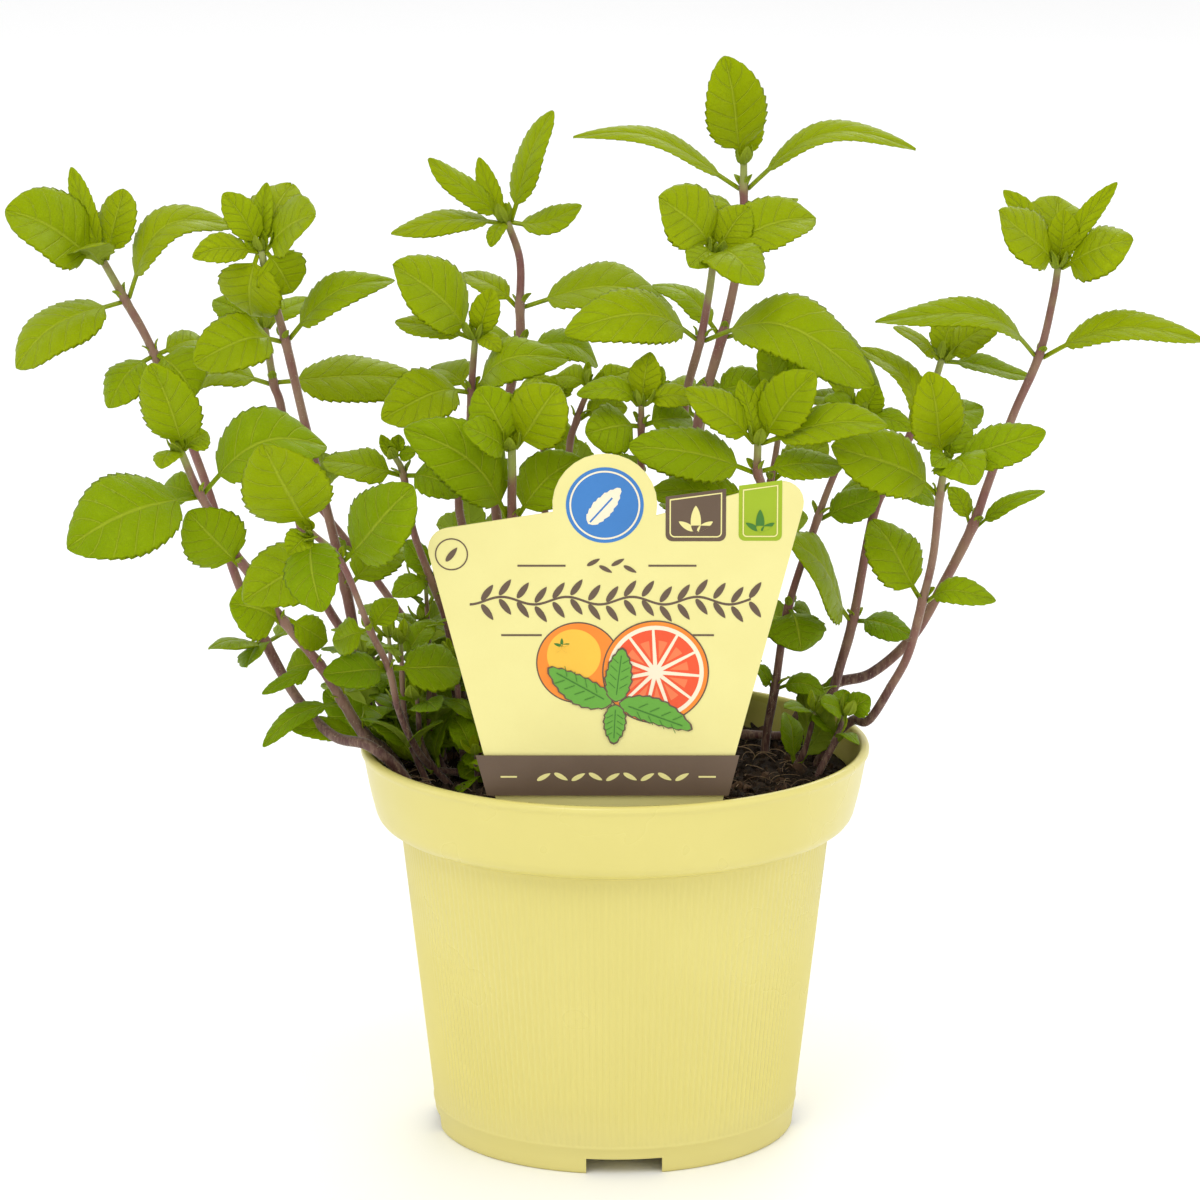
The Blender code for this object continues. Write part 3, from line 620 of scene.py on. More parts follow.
def leaf_finish(tree):
    about = tree.node("ShaderNodeAttribute", {"attribute_name": "about"}, out=1)
    age = tree.axis(about, 0)
    lot = tree.axis(about, 2)
    under = tree.axis(about, 1)
    along = tree.node("ShaderNodeUVMap", {"uv_map": "along"})
    flat = tree.axis(along, 0)
    across = (tree.axis(along, 1) * 2 - 1).math("ABSOLUTE")
    phase = (flat - across * VEIN_SLANT) * SIDE_VEINS
    near = (phase - phase.math("ROUND")).math("ABSOLUTE")
    side_vein = near.ramp(0.0, 0.075, 1.0, 0.0) * across.ramp(0.75, 1.0, 1.0, 0.2)
    midrib = across.ramp(0.015, 0.07, 1.0, 0.0)
    veins = side_vein.math("MAXIMUM", midrib)
    place = tree.place()
    cells = {"Vector": place, "Scale": 1100.0}
    net = tree.node("ShaderNodeTexVoronoi", {"feature": "DISTANCE_TO_EDGE"}, cells)
    net = net.ramp(0.0, 0.12, 1.0, 0.0)
    cloud = tree.noise(place, 160.0, 4.0)
    blotch = tree.noise(place, 45.0, 2.0)
    stops = [(0.0, YOUNG), (0.5, GROWN), (1.0, OLD)]
    tone = age + (lot - 0.5) * 0.45 + (blotch - 0.5) * 0.5 + (cloud - 0.5) * 0.25
    tone = tone + across.ramp(0.8, 1.0, 0.0, -0.08)
    green = tree.node("ShaderNodeValToRGB", {"stops": stops}, {"Fac": tone})
    green = tree.mix(veins * 0.6, green, VEIN)
    green = tree.mix(net * 0.1, green, VEIN)
    green = tree.mix(under * 0.55, green, UNDERSIDE)
    height = (veins * -0.7 + net * -0.16 + cloud * 0.3) * (1 - under * 1.6)
    normal = tree.bump(height, 0.00045, 0.75)
    shine = cloud.ramp(0.3, 0.7, 0.28, 0.42) + under * 0.2
    sockets = {"Base Color": green, "Roughness": shine, "Normal": normal}
    sockets |= {"Specular IOR Level": 0.42, "Specular Tint": (0.8, 1.0, 0.1, 1)}
    glossy = tree.shader(sockets)
    glow = tree.mix(0.5, green, (0.52, 0.64, 0.002))
    through = tree.node("ShaderNodeBsdfTranslucent", None, {"Color": glow, "Normal": normal})
    return tree.node("ShaderNodeMixShader", None, {0: 0.3, 1: glossy, 2: through})


LEAF = finish("mint_leaf", leaf_finish)

# %% [markdown]
# ## Stems
# Mint stems are square, with rounded corners and a swollen joint wherever two leaves sit. A ring of twelve
# points is squared off with a superellipse, and turned so that it never twists along the stem.

# %% Stem shape
STEM_SIDES = 12
SQUARENESS = 3.4
SLIMNESS = 0.81  # a squared-off section is wider than a round one
JOINT_LENGTH, JOINT_SWELL = 1.5, 0.24


def tube_rings(line, radii, squareness=2.0, sides=STEM_SIDES):
    """Rings of a tube with no twist, with a round or a squared-off section."""
    run = unit(np.gradient(line, axis=0))
    across = unit(np.cross(run[0], (0.3, 1, 0.1)))
    angle = 2 * math.pi * np.arange(sides) / sides
    section = (np.abs(np.cos(angle)) ** squareness + np.abs(np.sin(angle)) ** squareness) ** (-1 / squareness)
    rings = []
    for point, direction, radius in zip(line, run, radii):
        across = unit(across - direction * (across @ direction))
        other = np.cross(direction, across)
        ring = np.outer(np.cos(angle) * section, across) + np.outer(np.sin(angle) * section, other)
        rings.append(point + ring * radius)
    return np.array(rings)


def add_stem(tubes, line, radii, joints, seed, squareness=SQUARENESS):
    """A stem with swollen joints. The material reads how far along it is, and how high."""
    far = np.concatenate([[0], np.cumsum(np.linalg.norm(np.diff(line, axis=0), axis=1))])
    radii = SLIMNESS * np.array(radii, float)
    for joint in joints:
        distance = far - far[joint]
        radii *= 1 + JOINT_SWELL * np.exp(-((distance / JOINT_LENGTH) ** 2))
        radii *= 1 + 0.1 * np.exp(-(((distance + 5) / 4) ** 2))
    rings = tube_rings(line, radii, squareness)
    rows = len(line)
    grid = np.broadcast_to((far / far[-1])[:, None], rings.shape[:2])
    height = np.broadcast_to(line[:, 2:3], rings.shape[:2])
    turn = np.broadcast_to(np.arange(STEM_SIDES) / STEM_SIDES, (rows, STEM_SIDES))
    about = np.stack([grid, height / 100, np.full(grid.shape, seed)], -1)
    tubes.add(rings, np.stack([grid, turn], -1), about)


# %% [markdown]
# Near the soil a stem is woody and grey-brown, higher up it is purple-brown where the light falls, and the
# last finger's width is pale green. Long streaks run along it, and a soft sheen stands for its down.


# %% Stem finish
def stem_finish(tree):
    about = tree.node("ShaderNodeAttribute", {"attribute_name": "about"}, out=1)
    far = tree.axis(about, 0)
    height = tree.axis(about, 1)
    place = tree.place()
    sockets = {"Vector": place, "Scale": (1, 1, 0.16)}
    stretched = tree.node("ShaderNodeMapping", {"vector_type": "POINT"}, sockets)
    streak = tree.noise(stretched, 1500.0, 4.0, 0.6)
    cloud = tree.noise(place, 90.0, 3.0)
    purple = tree.mix(cloud.ramp(0.35, 0.65), (0.20, 0.075, 0.066), (0.26, 0.15, 0.095))
    woody = tree.mix(streak.ramp(0.4, 0.65), (0.085, 0.032, 0.03), (0.18, 0.105, 0.072))
    bark = tree.mix((height + cloud * 0.3).ramp(1.1, 1.36), woody, purple)
    tip = tree.mix((far + (cloud - 0.5) * 0.3).ramp(0.9, 1.02), bark, (0.30, 0.34, 0.08))
    colour = tree.mix(streak.ramp(0.35, 0.75) * 0.14, tip, (0.42, 0.32, 0.24))
    normal = tree.bump(streak, 0.0003, 0.5)
    sockets = {"Base Color": colour, "Roughness": streak.ramp(0.3, 0.7, 0.5, 0.68), "Normal": normal}
    sockets |= {"Sheen Weight": 0.3, "Sheen Roughness": 0.4, "Specular IOR Level": 0.35}
    return tree.shader(sockets)


STEM = finish("mint_stem", stem_finish)

# %% [markdown]
# Now every stem is grown. Its large leaves stand for leaves of the model, so each is a piece of its
# own, and the rest of a stem's leaves are one piece. Each stem ends in a tuft of leaves that are still
# folded, and tiny ones sit where a leaf meets the stem. Leaves low on the plant are older and darker.


# %% Grow the stems
def leaf_age(height, spread=0.0):
    """Young is 0 and old is 1: the low leaves are the old ones."""
    return float(np.clip(0.98 - (height - 94) / 125 + spread, 0.0, 1.0))


def add_tuft(tubes, tip, axis, size, rng):
    """Two pairs of folded young leaves at the end of a stem, and a small pair between them."""
    first = rng.uniform(0, math.pi)
    for k in range(6):
        turn = first + math.pi * k + (k // 2) * math.pi / 2
        flat = unit(np.cross(axis, (math.cos(turn), math.sin(turn), 0.2)))
        lean, length = (0.75, size) if k < 2 else (0.4, size * 0.8) if k < 4 else (0.15, size * 0.5)
        end = tip + unit(axis + flat * lean) * length
        add_leaf(tubes, tip - axis * 0.5, end, axis - flat, length * 0.5, -0.12, 0.12, rng)


NEAR_RIM, OVER_RIM = 47.0, 104.0  # a leaf whose tip reaches this far out is lifted over the rim


def add_pair(tubes, node, axis, turn, length, width, age, lift, rng):
    """Two leaves on opposite sides of a joint."""
    for side in (0, math.pi):
        flat = unit(np.cross(axis, (math.cos(turn + side), math.sin(turn + side), 0.15)))
        reach = length * rng.uniform(0.85, 1.1)
        end = node + unit(flat + axis * lift * rng.uniform(0.7, 1.3)) * reach
        if math.hypot(end[0], end[1]) > NEAR_RIM:
            end[2] = max(end[2], OVER_RIM)
        add_leaf(tubes, node + flat * 0.6, end, axis, width, rng.uniform(0.08, 0.2), age, rng)


large = [(name, k) for name, row in STEMS.items() for k in range(len(row[3]))]
large.sort(key=lambda one: -math.hypot(*STEMS[one[0]][3][one[1]][1:4]) * STEMS[one[0]][3][one[1]][4])
LARGE = set(large[: sum(node.startswith("leaf_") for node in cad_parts)])
rng = np.random.default_rng(11)
for name, (foot_radius, tip_radius, route, leaves) in STEMS.items():
    line = smooth(route, 10)
    stem = Tubes()
    joints = sorted({leaf[0] * 10 for leaf in leaves} - {len(line) - 1})
    add_stem(stem, line, np.linspace(foot_radius, tip_radius, len(line)), joints, rng.uniform())
    piece(f"mint_stem_{name}", stem.mesh(f"mint_stem_{name}"), STEM, [f"stem_{name}"])
    small, number = Tubes(), 0
    for k, leaf in enumerate(leaves):
        start, tip, top = leaf_place(name, leaf)
        age = leaf_age(tip[2], rng.uniform(-0.12, 0.12))
        if (name, k) not in LARGE:
            add_leaf(small, start, tip, top, leaf[4], leaf[5], age, rng)
            continue
        number += 1
        alone = Tubes()
        add_leaf(alone, start, tip, top, leaf[4], leaf[5], age, rng)
        title = f"mint_leaf_{name}_{number}"
        piece(title, alone.mesh(title), LEAF, [f"leaf_{name}_{number}"])
    add_tuft(small, line[-1], unit(line[-1] - line[-3]), 6.0, rng)
    for joint in joints:
        axis = unit(line[joint + 1] - line[joint - 1])
        add_pair(small, line[joint], axis, rng.uniform(0, 6), 4.2, 2.0, 0.25, 1.4, rng)
    piece(f"mint_small_leaves_{name}", small.mesh(f"mint_small_leaves_{name}"), LEAF)
print(len(PIECES), "pieces,", sum(len(one.data.polygons) for one in PIECES.values()), "faces")

# %% [markdown]
# Low down, new shoots crowd between the old stems. Each is a short stem with two or three pairs of small dark
# leaves. The ones that show at the front are listed one by one, and a seeded arc of others fills the back.

# %% Low shoots
SHOOTS = [  # foot x and y, how far the tip leans in x and y, height, pairs, leaf length
    (-44, 12, -16, -2, 27, 3, 18), (-38, -8, -9, -6, 22, 2, 17), (-34, 18, 2, -6, 34, 3, 19),
    (-43, 4, -8, -6, 18, 2, 13), (-28, -4, -5, -12, 9, 2, 14), (-40, 22, -6, 4, 40, 3, 18),
    (-30, 8, -2, -6, 20, 2, 17), (-44, 22, -18, 8, 22, 3, 17), (-20, 20, 5, 2, 52, 3, 18),
    (-42, 6, -12, -8, 34, 2, 17), (-26, 12, -6, -4, 42, 3, 18), (-36, 2, -2, -10, 30, 2, 16),
    (41, 4, 7, -4, 15, 2, 13), (44, 18, 4, 4, 12, 2, 11), (20, 26, -4, -4, 64, 3, 15),
    (2, 22, -2, -4, 70, 3, 15), (-8, -2, 0, -4, 50, 3, 14), (10, -20, 2, -4, 30, 2, 12),
]
SHOOT_PIECES = 4  # their leaves are divided over this many pieces
SHOOT_FOOT = 84.0  # the shoots start a little below the soil's top
ARC_SHOOTS, ARC_START, ARC_SWEEP = 20, 0.95, 2.7  # the seeded shoots stand in an arc at the back
rng = np.random.default_rng(23)
for k in range(ARC_SHOOTS):
    turn, reach = ARC_START + ARC_SWEEP * k / ARC_SHOOTS, rng.uniform(24, 45)
    foot = reach * math.cos(turn), reach * math.sin(turn)
    lean = rng.uniform(0.1, 0.24)
    height, pairs, length = rng.uniform(12, 46), int(rng.integers(2, 4)), rng.uniform(11, 17)
    SHOOTS.append((*foot, foot[0] * lean, foot[1] * lean, height, pairs, length))

shoot_stems, shoot_leaves = Tubes(), [Tubes() for _ in range(SHOOT_PIECES)]
for number, (x, y, right, back, height, pairs, length) in enumerate(SHOOTS):
    clump = shoot_leaves[number * SHOOT_PIECES // len(SHOOTS)]
    foot = np.array([x, y, SHOOT_FOOT])
    tip = foot + (right, back, height + 3)
    bulge = (foot + tip) / 2 + (right * 0.25 + rng.uniform(-2, 2), back * 0.25 + rng.uniform(-2, 2), -2)
    line = smooth([foot, bulge, tip], 10)
    add_stem(shoot_stems, line, np.linspace(1.0, 0.55, len(line)), [10, 16], rng.uniform())
    turn = rng.uniform(0, 6)
    for pair in range(pairs):
        place = int((len(line) - 2) * (0.35 + 0.6 * pair / max(1, pairs - 1)))
        axis = unit(line[place + 1] - line[place - 1])
        size = length * (1 - 0.16 * pair)
        age = leaf_age(line[place, 2], rng.uniform(-0.15, 0.05))
        add_pair(clump, line[place], axis, turn + pair * math.pi / 2, size, size * 0.58, age, 0.5, rng)
    add_tuft(clump, line[-1], unit(line[-1] - line[-3]), length * 0.4, rng)
piece("mint_shoots", shoot_stems.mesh("mint_shoots"), STEM)
for number, clump in enumerate(shoot_leaves, 1):
    piece(f"mint_shoot_leaves_{number}", clump.mesh(f"mint_shoot_leaves_{number}"), LEAF)
print(len(SHOOTS), "shoots,", sum(len(clump.faces) for clump in shoot_leaves), "faces")

# %% [markdown]
# A runner creeps over the soil from one stem towards the rim, as mint does. It is a thin reddish stem.

# %% Runner
RUNNER = [(24, 28.5, 88.6), (31, 28.2, 88.8), (37, 27.6, 88.8), (43, 27, 88.6), (49, 26.6, 88.4)]
RUNNER_RADIUS = 1.2
runner = Tubes()
line = smooth(RUNNER, 10)
add_stem(runner, line, np.full(len(line), RUNNER_RADIUS), [12, 27], 0.4, 2.2)
piece("creeping_runner", runner.mesh("creeping_runner"), STEM, ["runner"])

# %% [markdown]
# Young mint stems are downy. The hairs are far too fine to model one by one by hand, so Geometry Nodes
# scatter a thin three-sided spike over the stems: points on the faces, each turned to the face's own direction.


# %% Down on the stems
KINDS = {"Seed": "NodeSocketInt", "Look": "NodeSocketMaterial"}  # every other input is a number


def group(name, *inputs):
    """An empty Geometry Nodes tree with these inputs. Gives the tree and its input node's sockets by name."""
    made = bpy.data.node_groups.new(name, "GeometryNodeTree")
    made.interface.new_socket("Geometry", in_out="INPUT", socket_type="NodeSocketGeometry")
    made.interface.new_socket("Geometry", in_out="OUTPUT", socket_type="NodeSocketGeometry")
    for title in inputs:
        kind = KINDS.get(title, "NodeSocketFloat")
        made.interface.new_socket(title, in_out="INPUT", socket_type=kind)
    tree = Tree(made)
    into = made.nodes.new("NodeGroupInput")
    return tree, {socket.name: Socket(tree, socket) for socket in into.outputs if socket.name}


def close_group(tree, geometry, look):
    """Ends a tree: real geometry instead of instances, with its material."""
    real = tree.node("GeometryNodeRealizeInstances", None, {"Geometry": geometry})
    dressed = tree.node("GeometryNodeSetMaterial", None, {"Geometry": real, "Material": look})
    tree.node("NodeGroupOutput", None, {0: dressed})


def grow(made, tree, **values):
    """Puts a tree on an object as a modifier, and sets its inputs by their identifiers."""
    modifier = made.modifiers.new("grow", "NODES")
    modifier.node_group = tree.tree
    for item in tree.tree.interface.items_tree:
        if item.in_out == "INPUT" and item.name in values:
            modifier[item.identifier] = values[item.name]
    return made


down_tree, down = group("stem_down", "Density", "Length", "Thickness", "Seed", "Look")
sockets = {"Mesh": down["Geometry"], "Density": down["Density"], "Seed": down["Seed"]}
spots = down_tree.node("GeometryNodeDistributePointsOnFaces", None, sockets)
distribute = spots.link.node
lean = down_tree.random((-0.6,) * 3, (0.6,) * 3)
tilted = down_tree.vector_math("ADD", Socket(down_tree, distribute.outputs["Normal"]), lean)
turned = down_tree.node("FunctionNodeAlignRotationToVector", {"axis": "Z"}, {"Vector": tilted})
sockets = {"Vertices": 3, "Radius Top": 0.0, "Radius Bottom": down["Thickness"], "Depth": down["Length"]}
spike = down_tree.node("GeometryNodeMeshCone", {"fill_type": "NGON"}, sockets)
sizes = down_tree.random(0.5, 1.2)
sockets = {"Points": spots, "Instance": spike, "Rotation": turned, "Scale": sizes}
hairs = down_tree.node("GeometryNodeInstanceOnPoints", None, sockets)
close_group(down_tree, hairs, down["Look"])


def down_finish(tree):
    sockets = {"Base Color": (0.62, 0.60, 0.42, 1), "Roughness": 0.6}
    glossy = tree.shader(sockets)
    through = tree.node("ShaderNodeBsdfTranslucent", None, {"Color": (0.7, 0.68, 0.5, 1)})
    return tree.node("ShaderNodeMixShader", None, {0: 0.35, 1: glossy, 2: through})


DOWN = finish("stem_down", down_finish)
stem_skin = bmesh.new()
for name in [*STEMS, "shoots"]:
    stem_skin.from_mesh(PIECES[f"mint_stem_{name}" if name in STEMS else "mint_shoots"].data)
skin = bpy.data.meshes.new("stem_skin")
stem_skin.to_mesh(skin)
stem_skin.free()
fuzzy = temporary("stem_skin", skin)
grow(fuzzy, down_tree, Density=0.42e6, Length=0.85 * MM, Thickness=0.035 * MM, Seed=3, Look=DOWN)
piece("stem_down", plain_mesh(fuzzy, "stem_down"), DOWN)
print(len(PIECES["stem_down"].data.polygons) // 4, "hairs")

# %% [markdown]
# ## The pot
# A nursery pot is blown from a thin sheet: a tapered body with fine upright flutes, a smooth rim band and a
# rolled lip. A Screw modifier turns its profile, Geometry Nodes press the flutes into the body by rule, and a
# Boolean cuts the notches of the foot and the holes of the floor, as the mould's pins would.

# %% Pot shape
FLUTES = 188
FLUTE_DEPTH = 0.3
FLUTED = (7.4, 73.2)  # the heights between which the body is fluted
FLUTE_END = 0.9  # how gently a flute ends
POT_OUTSIDE = [
    (59.4, 94.55), (59.9, 94.6), (60.4, 94.5), (60.85, 94.15), (61, 93.7), (60.95, 93.1), (60.5, 92.6),
    (60.3, 92.0), (59.7, 88.8), (59.1, 85.6), (58.5, 82.8), (57.9, 80.5), (57.7, 79.6), (57.45, 78.7),
    (57.0, 77.7), (56.3, 76.8), (55.3, 76.1), (53.8, 75.5), (52.2, 75.1), (51.55, 74.7), (51.45, 74.0),
]
BODY_STEPS = 9
POT_BODY = [
    (43.95 + (51.42 - 43.95) * k / BODY_STEPS, 7.2 + 66.0 * k / BODY_STEPS) for k in range(BODY_STEPS, -1, -1)
]
POT_FOOT = [
    (44.05, 6.9), (44.1, 6.6), (44.05, 6.3), (43.85, 6.0), (43.6, 3.4), (43.4, 1.3), (43.25, 0.6),
    (42.95, 0.15), (42.6, 0), (42.1, 0), (42.1, 4.0), (30, 4.0), (8, 4.0), (0, 4.0),
]
POT_INSIDE = [
    (0, 5.2), (20, 5.2), (42.0, 5.2), (42.7, 5.9), (50.2, 75.3), (50.6, 75.9), (52.8, 76.7), (54.7, 77.4),
    (55.8, 78.4), (56.4, 79.8), (58.0, 88.0), (58.7, 93.0), (58.75, 93.8), (59.0, 94.3), (59.4, 94.55),
]
NOTCHES, NOTCH_WIDTH, NOTCH_HEIGHT = 4, 18.0, 3.9
NOTCH_TURN = 0.05  # how far round the front notch is from the label
HOLES, HOLE_RING, HOLE_RADIUS = 8, 33.0, 2.75

profile = POT_OUTSIDE + POT_BODY + POT_FOOT + POT_INSIDE
mesh = bpy.data.meshes.new("pot_profile")
edges = [(k, k + 1) for k in range(len(profile) - 1)]
mesh.from_pydata([(radius * MM, 0, height * MM) for radius, height in profile], edges, [])
pot = temporary("pot_profile", mesh)
screw = pot.modifiers.new("turn", "SCREW")
screw.steps = screw.render_steps = FLUTES * 4
screw.use_merge_vertices = True
screw.merge_threshold = 0.01 * MM

flute_tree, flute = group("flutes", "Flutes", "Depth", "Low", "High", "Look")
place = flute_tree.node("GeometryNodeInputPosition")
x, y, z = (flute_tree.axis(place, k) for k in range(3))
radius = (x * x + y * y).math("SQRT")
wave = (y.math("ARCTAN2", x) * flute["Flutes"]).math("COSINE") * 0.5 + 0.5
outside = (radius - z * 0.1132).math("GREATER_THAN", 42.6 * MM)  # the outer wall, not the inner one
body = z.ramp(flute["Low"] - FLUTE_END * MM, flute["Low"])
body = body * z.ramp(flute["High"], flute["High"] + FLUTE_END * MM, 1.0, 0.0)
press = wave * body * outside * flute["Depth"] * -1
shift = flute_tree.vector(x / radius * press, y / radius * press)
fluted = flute_tree.node("GeometryNodeSetPosition", None, {"Geometry": flute["Geometry"], "Offset": shift})
close_group(flute_tree, fluted, flute["Look"])


def pot_finish(tree):
    place = tree.place()
    cloud = tree.noise(place, 28.0, 3.0)
    height = tree.axis(place, 2)
    dust = (height + (cloud - 0.5) * 0.03).ramp(0.0, 0.022, 0.22, 0.0)
    yellow = tree.mix(cloud.ramp(0.3, 0.7), (0.70, 0.62, 0.19), (0.68, 0.60, 0.178))
    colour = tree.mix(dust, yellow, (0.48, 0.41, 0.2))
    rough = cloud.ramp(0.3, 0.7, 0.26, 0.34) + dust
    sockets = {"Base Color": colour, "Roughness": rough, "Specular IOR Level": 0.5}
    return tree.shader(sockets)


POT = finish("pot_plastic", pot_finish)
low, high = FLUTED
grow(pot, flute_tree, Flutes=float(FLUTES), Depth=FLUTE_DEPTH * MM, Low=low * MM, High=high * MM, Look=POT)
wall = plain_mesh(pot, "nursery_pot")


def add_notch(shape, turn):
    """A block across the foot ring."""
    block = bmesh.ops.create_cube(shape, size=1)["verts"]
    bmesh.ops.scale(shape, vec=(NOTCH_WIDTH * MM, 8 * MM, (NOTCH_HEIGHT + 1) * MM), verts=block)
    bmesh.ops.translate(shape, vec=(0, -43.4 * MM, (NOTCH_HEIGHT - 1) / 2 * MM), verts=block)
    spin = Matrix.Rotation(turn, 3, "Z")
    bmesh.ops.rotate(shape, cent=(0, 0, 0), matrix=spin, verts=block)


cutter_shape = bmesh.new()
for k in range(NOTCHES):
    add_notch(cutter_shape, 2 * math.pi * k / NOTCHES + NOTCH_TURN)
for k in range(HOLES + 1):
    turn, reach = 2 * math.pi * (k + 0.3) / HOLES, HOLE_RING * (k < HOLES)
    sizes = {"segments": 32, "radius1": HOLE_RADIUS * MM, "radius2": HOLE_RADIUS * MM, "depth": 6 * MM}
    drill = bmesh.ops.create_cone(cutter_shape, cap_ends=True, **sizes)["verts"]
    place = (reach * math.cos(turn) * MM, reach * math.sin(turn) * MM, 4.6 * MM)
    bmesh.ops.translate(cutter_shape, vec=place, verts=drill)
cutter_mesh = bpy.data.meshes.new("pot_cutter")
cutter_shape.to_mesh(cutter_mesh)
cutter_shape.free()
cutter = temporary("pot_cutter", cutter_mesh)
solid = temporary("pot_solid", wall)
carve = solid.modifiers.new("carve", "BOOLEAN")
carve.operation, carve.solver, carve.object = "DIFFERENCE", "EXACT", cutter
wall = plain_mesh(solid, "nursery_pot")
bpy.data.objects.remove(cutter)
wall.shade_smooth()
wall.set_sharp_from_angle(angle=math.radians(40))
piece("nursery_pot", wall, POT, ["pot"])
print("pot:", len(wall.polygons), "faces")

# %% [markdown]
# ## The soil
# Potting soil is dark peat with crumbs of bark and pale root fibres. The block is a turned shape whose top is
# raised into soft heaps. Crumbs and fibres are scattered over it by Geometry Nodes, each crumb a small
# twenty-faced lump that noise pulls out of shape.


# %% Soil block
def soil_height(x, y):
    """Soft heaps on the soil, in millimetres."""
    heaps = np.sin(x * 0.17 + 1.3) * np.sin(y * 0.21 + 0.4)
    heaps += 0.6 * np.sin(x * 0.41 + y * 0.33) * np.cos(y * 0.47)
    heaps += 0.35 * np.sin(x * 0.9 - y * 0.7 + 2) * np.sin(y * 1.1 + x * 0.3)
    fade = np.clip((57 - np.hypot(x, y)) / 8, 0, 1)
    return 86.6 + 1.3 * heaps * (0.35 + 0.65 * fade) - 0.9 * (1 - fade)


SOIL_STEPS = 144  # how many sides the block has


def soil_mesh():
    """A closed block: a heaped top, the pot's inside at a small gap, and a flat base."""
    turns = 2 * math.pi * np.arange(SOIL_STEPS) / SOIL_STEPS
    rings = [(radius, None) for radius in np.linspace(1.2, 57.0, 48)]
    rings += [(56.1, 80.2), (55.5, 79.0), (54.4, 78.0), (49.8, 76.1), (42.1, 5.5)]
    points = [(0, 0, float(soil_height(0, 0)))]
    for radius, height in rings:
        x, y = radius * np.cos(turns), radius * np.sin(turns)
        z = soil_height(x, y) if height is None else np.full(SOIL_STEPS, height)
        points += np.stack([x, y, z], 1).tolist()
    faces = [(0, 1 + k, 1 + (k + 1) % SOIL_STEPS) for k in range(SOIL_STEPS)]
    for ring in range(len(rings) - 1):
        low = 1 + ring * SOIL_STEPS
        for k in range(SOIL_STEPS):
            after = (k + 1) % SOIL_STEPS
            faces.append((low + k, low + SOIL_STEPS + k, low + SOIL_STEPS + after, low + after))
    faces.append([1 + (len(rings) - 1) * SOIL_STEPS + k for k in range(143, -1, -1)])
    made = bpy.data.meshes.new("soil_block")
    made.from_pydata((np.array(points) * MM).tolist(), [], faces)
    made.shade_smooth()
    return made


def soil_finish(tree):
    place = tree.place()
    coarse = tree.noise(place, 260.0, 5.0, 0.65)
    fine = tree.noise(place, 1300.0, 3.0)
    stops = [(0.3, (0.006, 0.004, 0.003)), (0.52, (0.028, 0.017, 0.010))]
    stops += [(0.68, (0.075, 0.045, 0.026)), (0.85, (0.16, 0.10, 0.06))]
    colour = tree.node("ShaderNodeValToRGB", {"stops": stops}, {"Fac": coarse * 0.7 + fine * 0.3})
    normal = tree.bump(coarse + fine * 0.5, 0.0012, 0.9)
    sockets = {"Base Color": colour, "Roughness": fine.ramp(0.3, 0.7, 0.82, 0.98), "Normal": normal}
    sockets |= {"Specular IOR Level": 0.25}
    return tree.shader(sockets)


SOIL = finish("peat", soil_finish)
block = soil_mesh()
piece("soil_block", block, SOIL, ["potting_soil"])


# %% Crumbs and fibres
CRUMB_REACH, FIBRE_REACH = 54.0, 49.0  # how far from the pot's middle they lie


def clear_of_wall(tree, reach):
    """Selects the block's top out to a radius in millimetres, so that nothing grows through the pot."""
    normal = tree.node("GeometryNodeInputNormal")
    place = tree.node("GeometryNodeInputPosition")
    upward = tree.axis(normal, 2).math("GREATER_THAN", 0.6)
    x, y = (tree.axis(place, k) for k in (0, 1))
    return upward * (x * x + y * y).math("SQRT").math("LESS_THAN", reach * MM)


def soil_spots(tree, inputs, reach):
    """Random points on the block's top."""
    sockets = {"Mesh": inputs["Geometry"], "Selection": clear_of_wall(tree, reach)}
    sockets |= {"Density": inputs["Density"], "Seed": inputs["Seed"]}
    return tree.node("GeometryNodeDistributePointsOnFaces", None, sockets)


crumb_tree, crumb = group("crumbs", "Density", "Size", "Flatness", "Seed", "Look")
spots = soil_spots(crumb_tree, crumb, CRUMB_REACH)
lump = crumb_tree.node("GeometryNodeMeshIcoSphere", None, {"Radius": crumb["Size"], "Subdivisions": 1})
spin = crumb_tree.random((0.0,) * 3, (6.28,) * 3)
sizes = crumb_tree.random((0.35, 0.5, 0.3), (1.5, 1.0, 1.0))
sizes = crumb_tree.vector_math("MULTIPLY", sizes, crumb_tree.vector(1.0, 1.0, crumb["Flatness"]))
sockets = {"Points": spots, "Instance": lump, "Rotation": spin, "Scale": sizes}
lumps = crumb_tree.node("GeometryNodeInstanceOnPoints", None, sockets)
lumps = crumb_tree.node("GeometryNodeRealizeInstances", None, {"Geometry": lumps})
sockets = {"Scale": 900.0, "Detail": 1.0}
rough = crumb_tree.node("ShaderNodeTexNoise", {"noise_dimensions": "3D"}, sockets, out=1)
rough = crumb_tree.vector_math("SUBTRACT", rough, (0.5, 0.5, 0.5))
sockets = {0: rough, "Scale": crumb["Size"] * 1.6}
rough = crumb_tree.node("ShaderNodeVectorMath", {"operation": "SCALE"}, sockets)
lumps = crumb_tree.node("GeometryNodeSetPosition", None, {"Geometry": lumps, "Offset": rough})
close_group(crumb_tree, lumps, crumb["Look"])

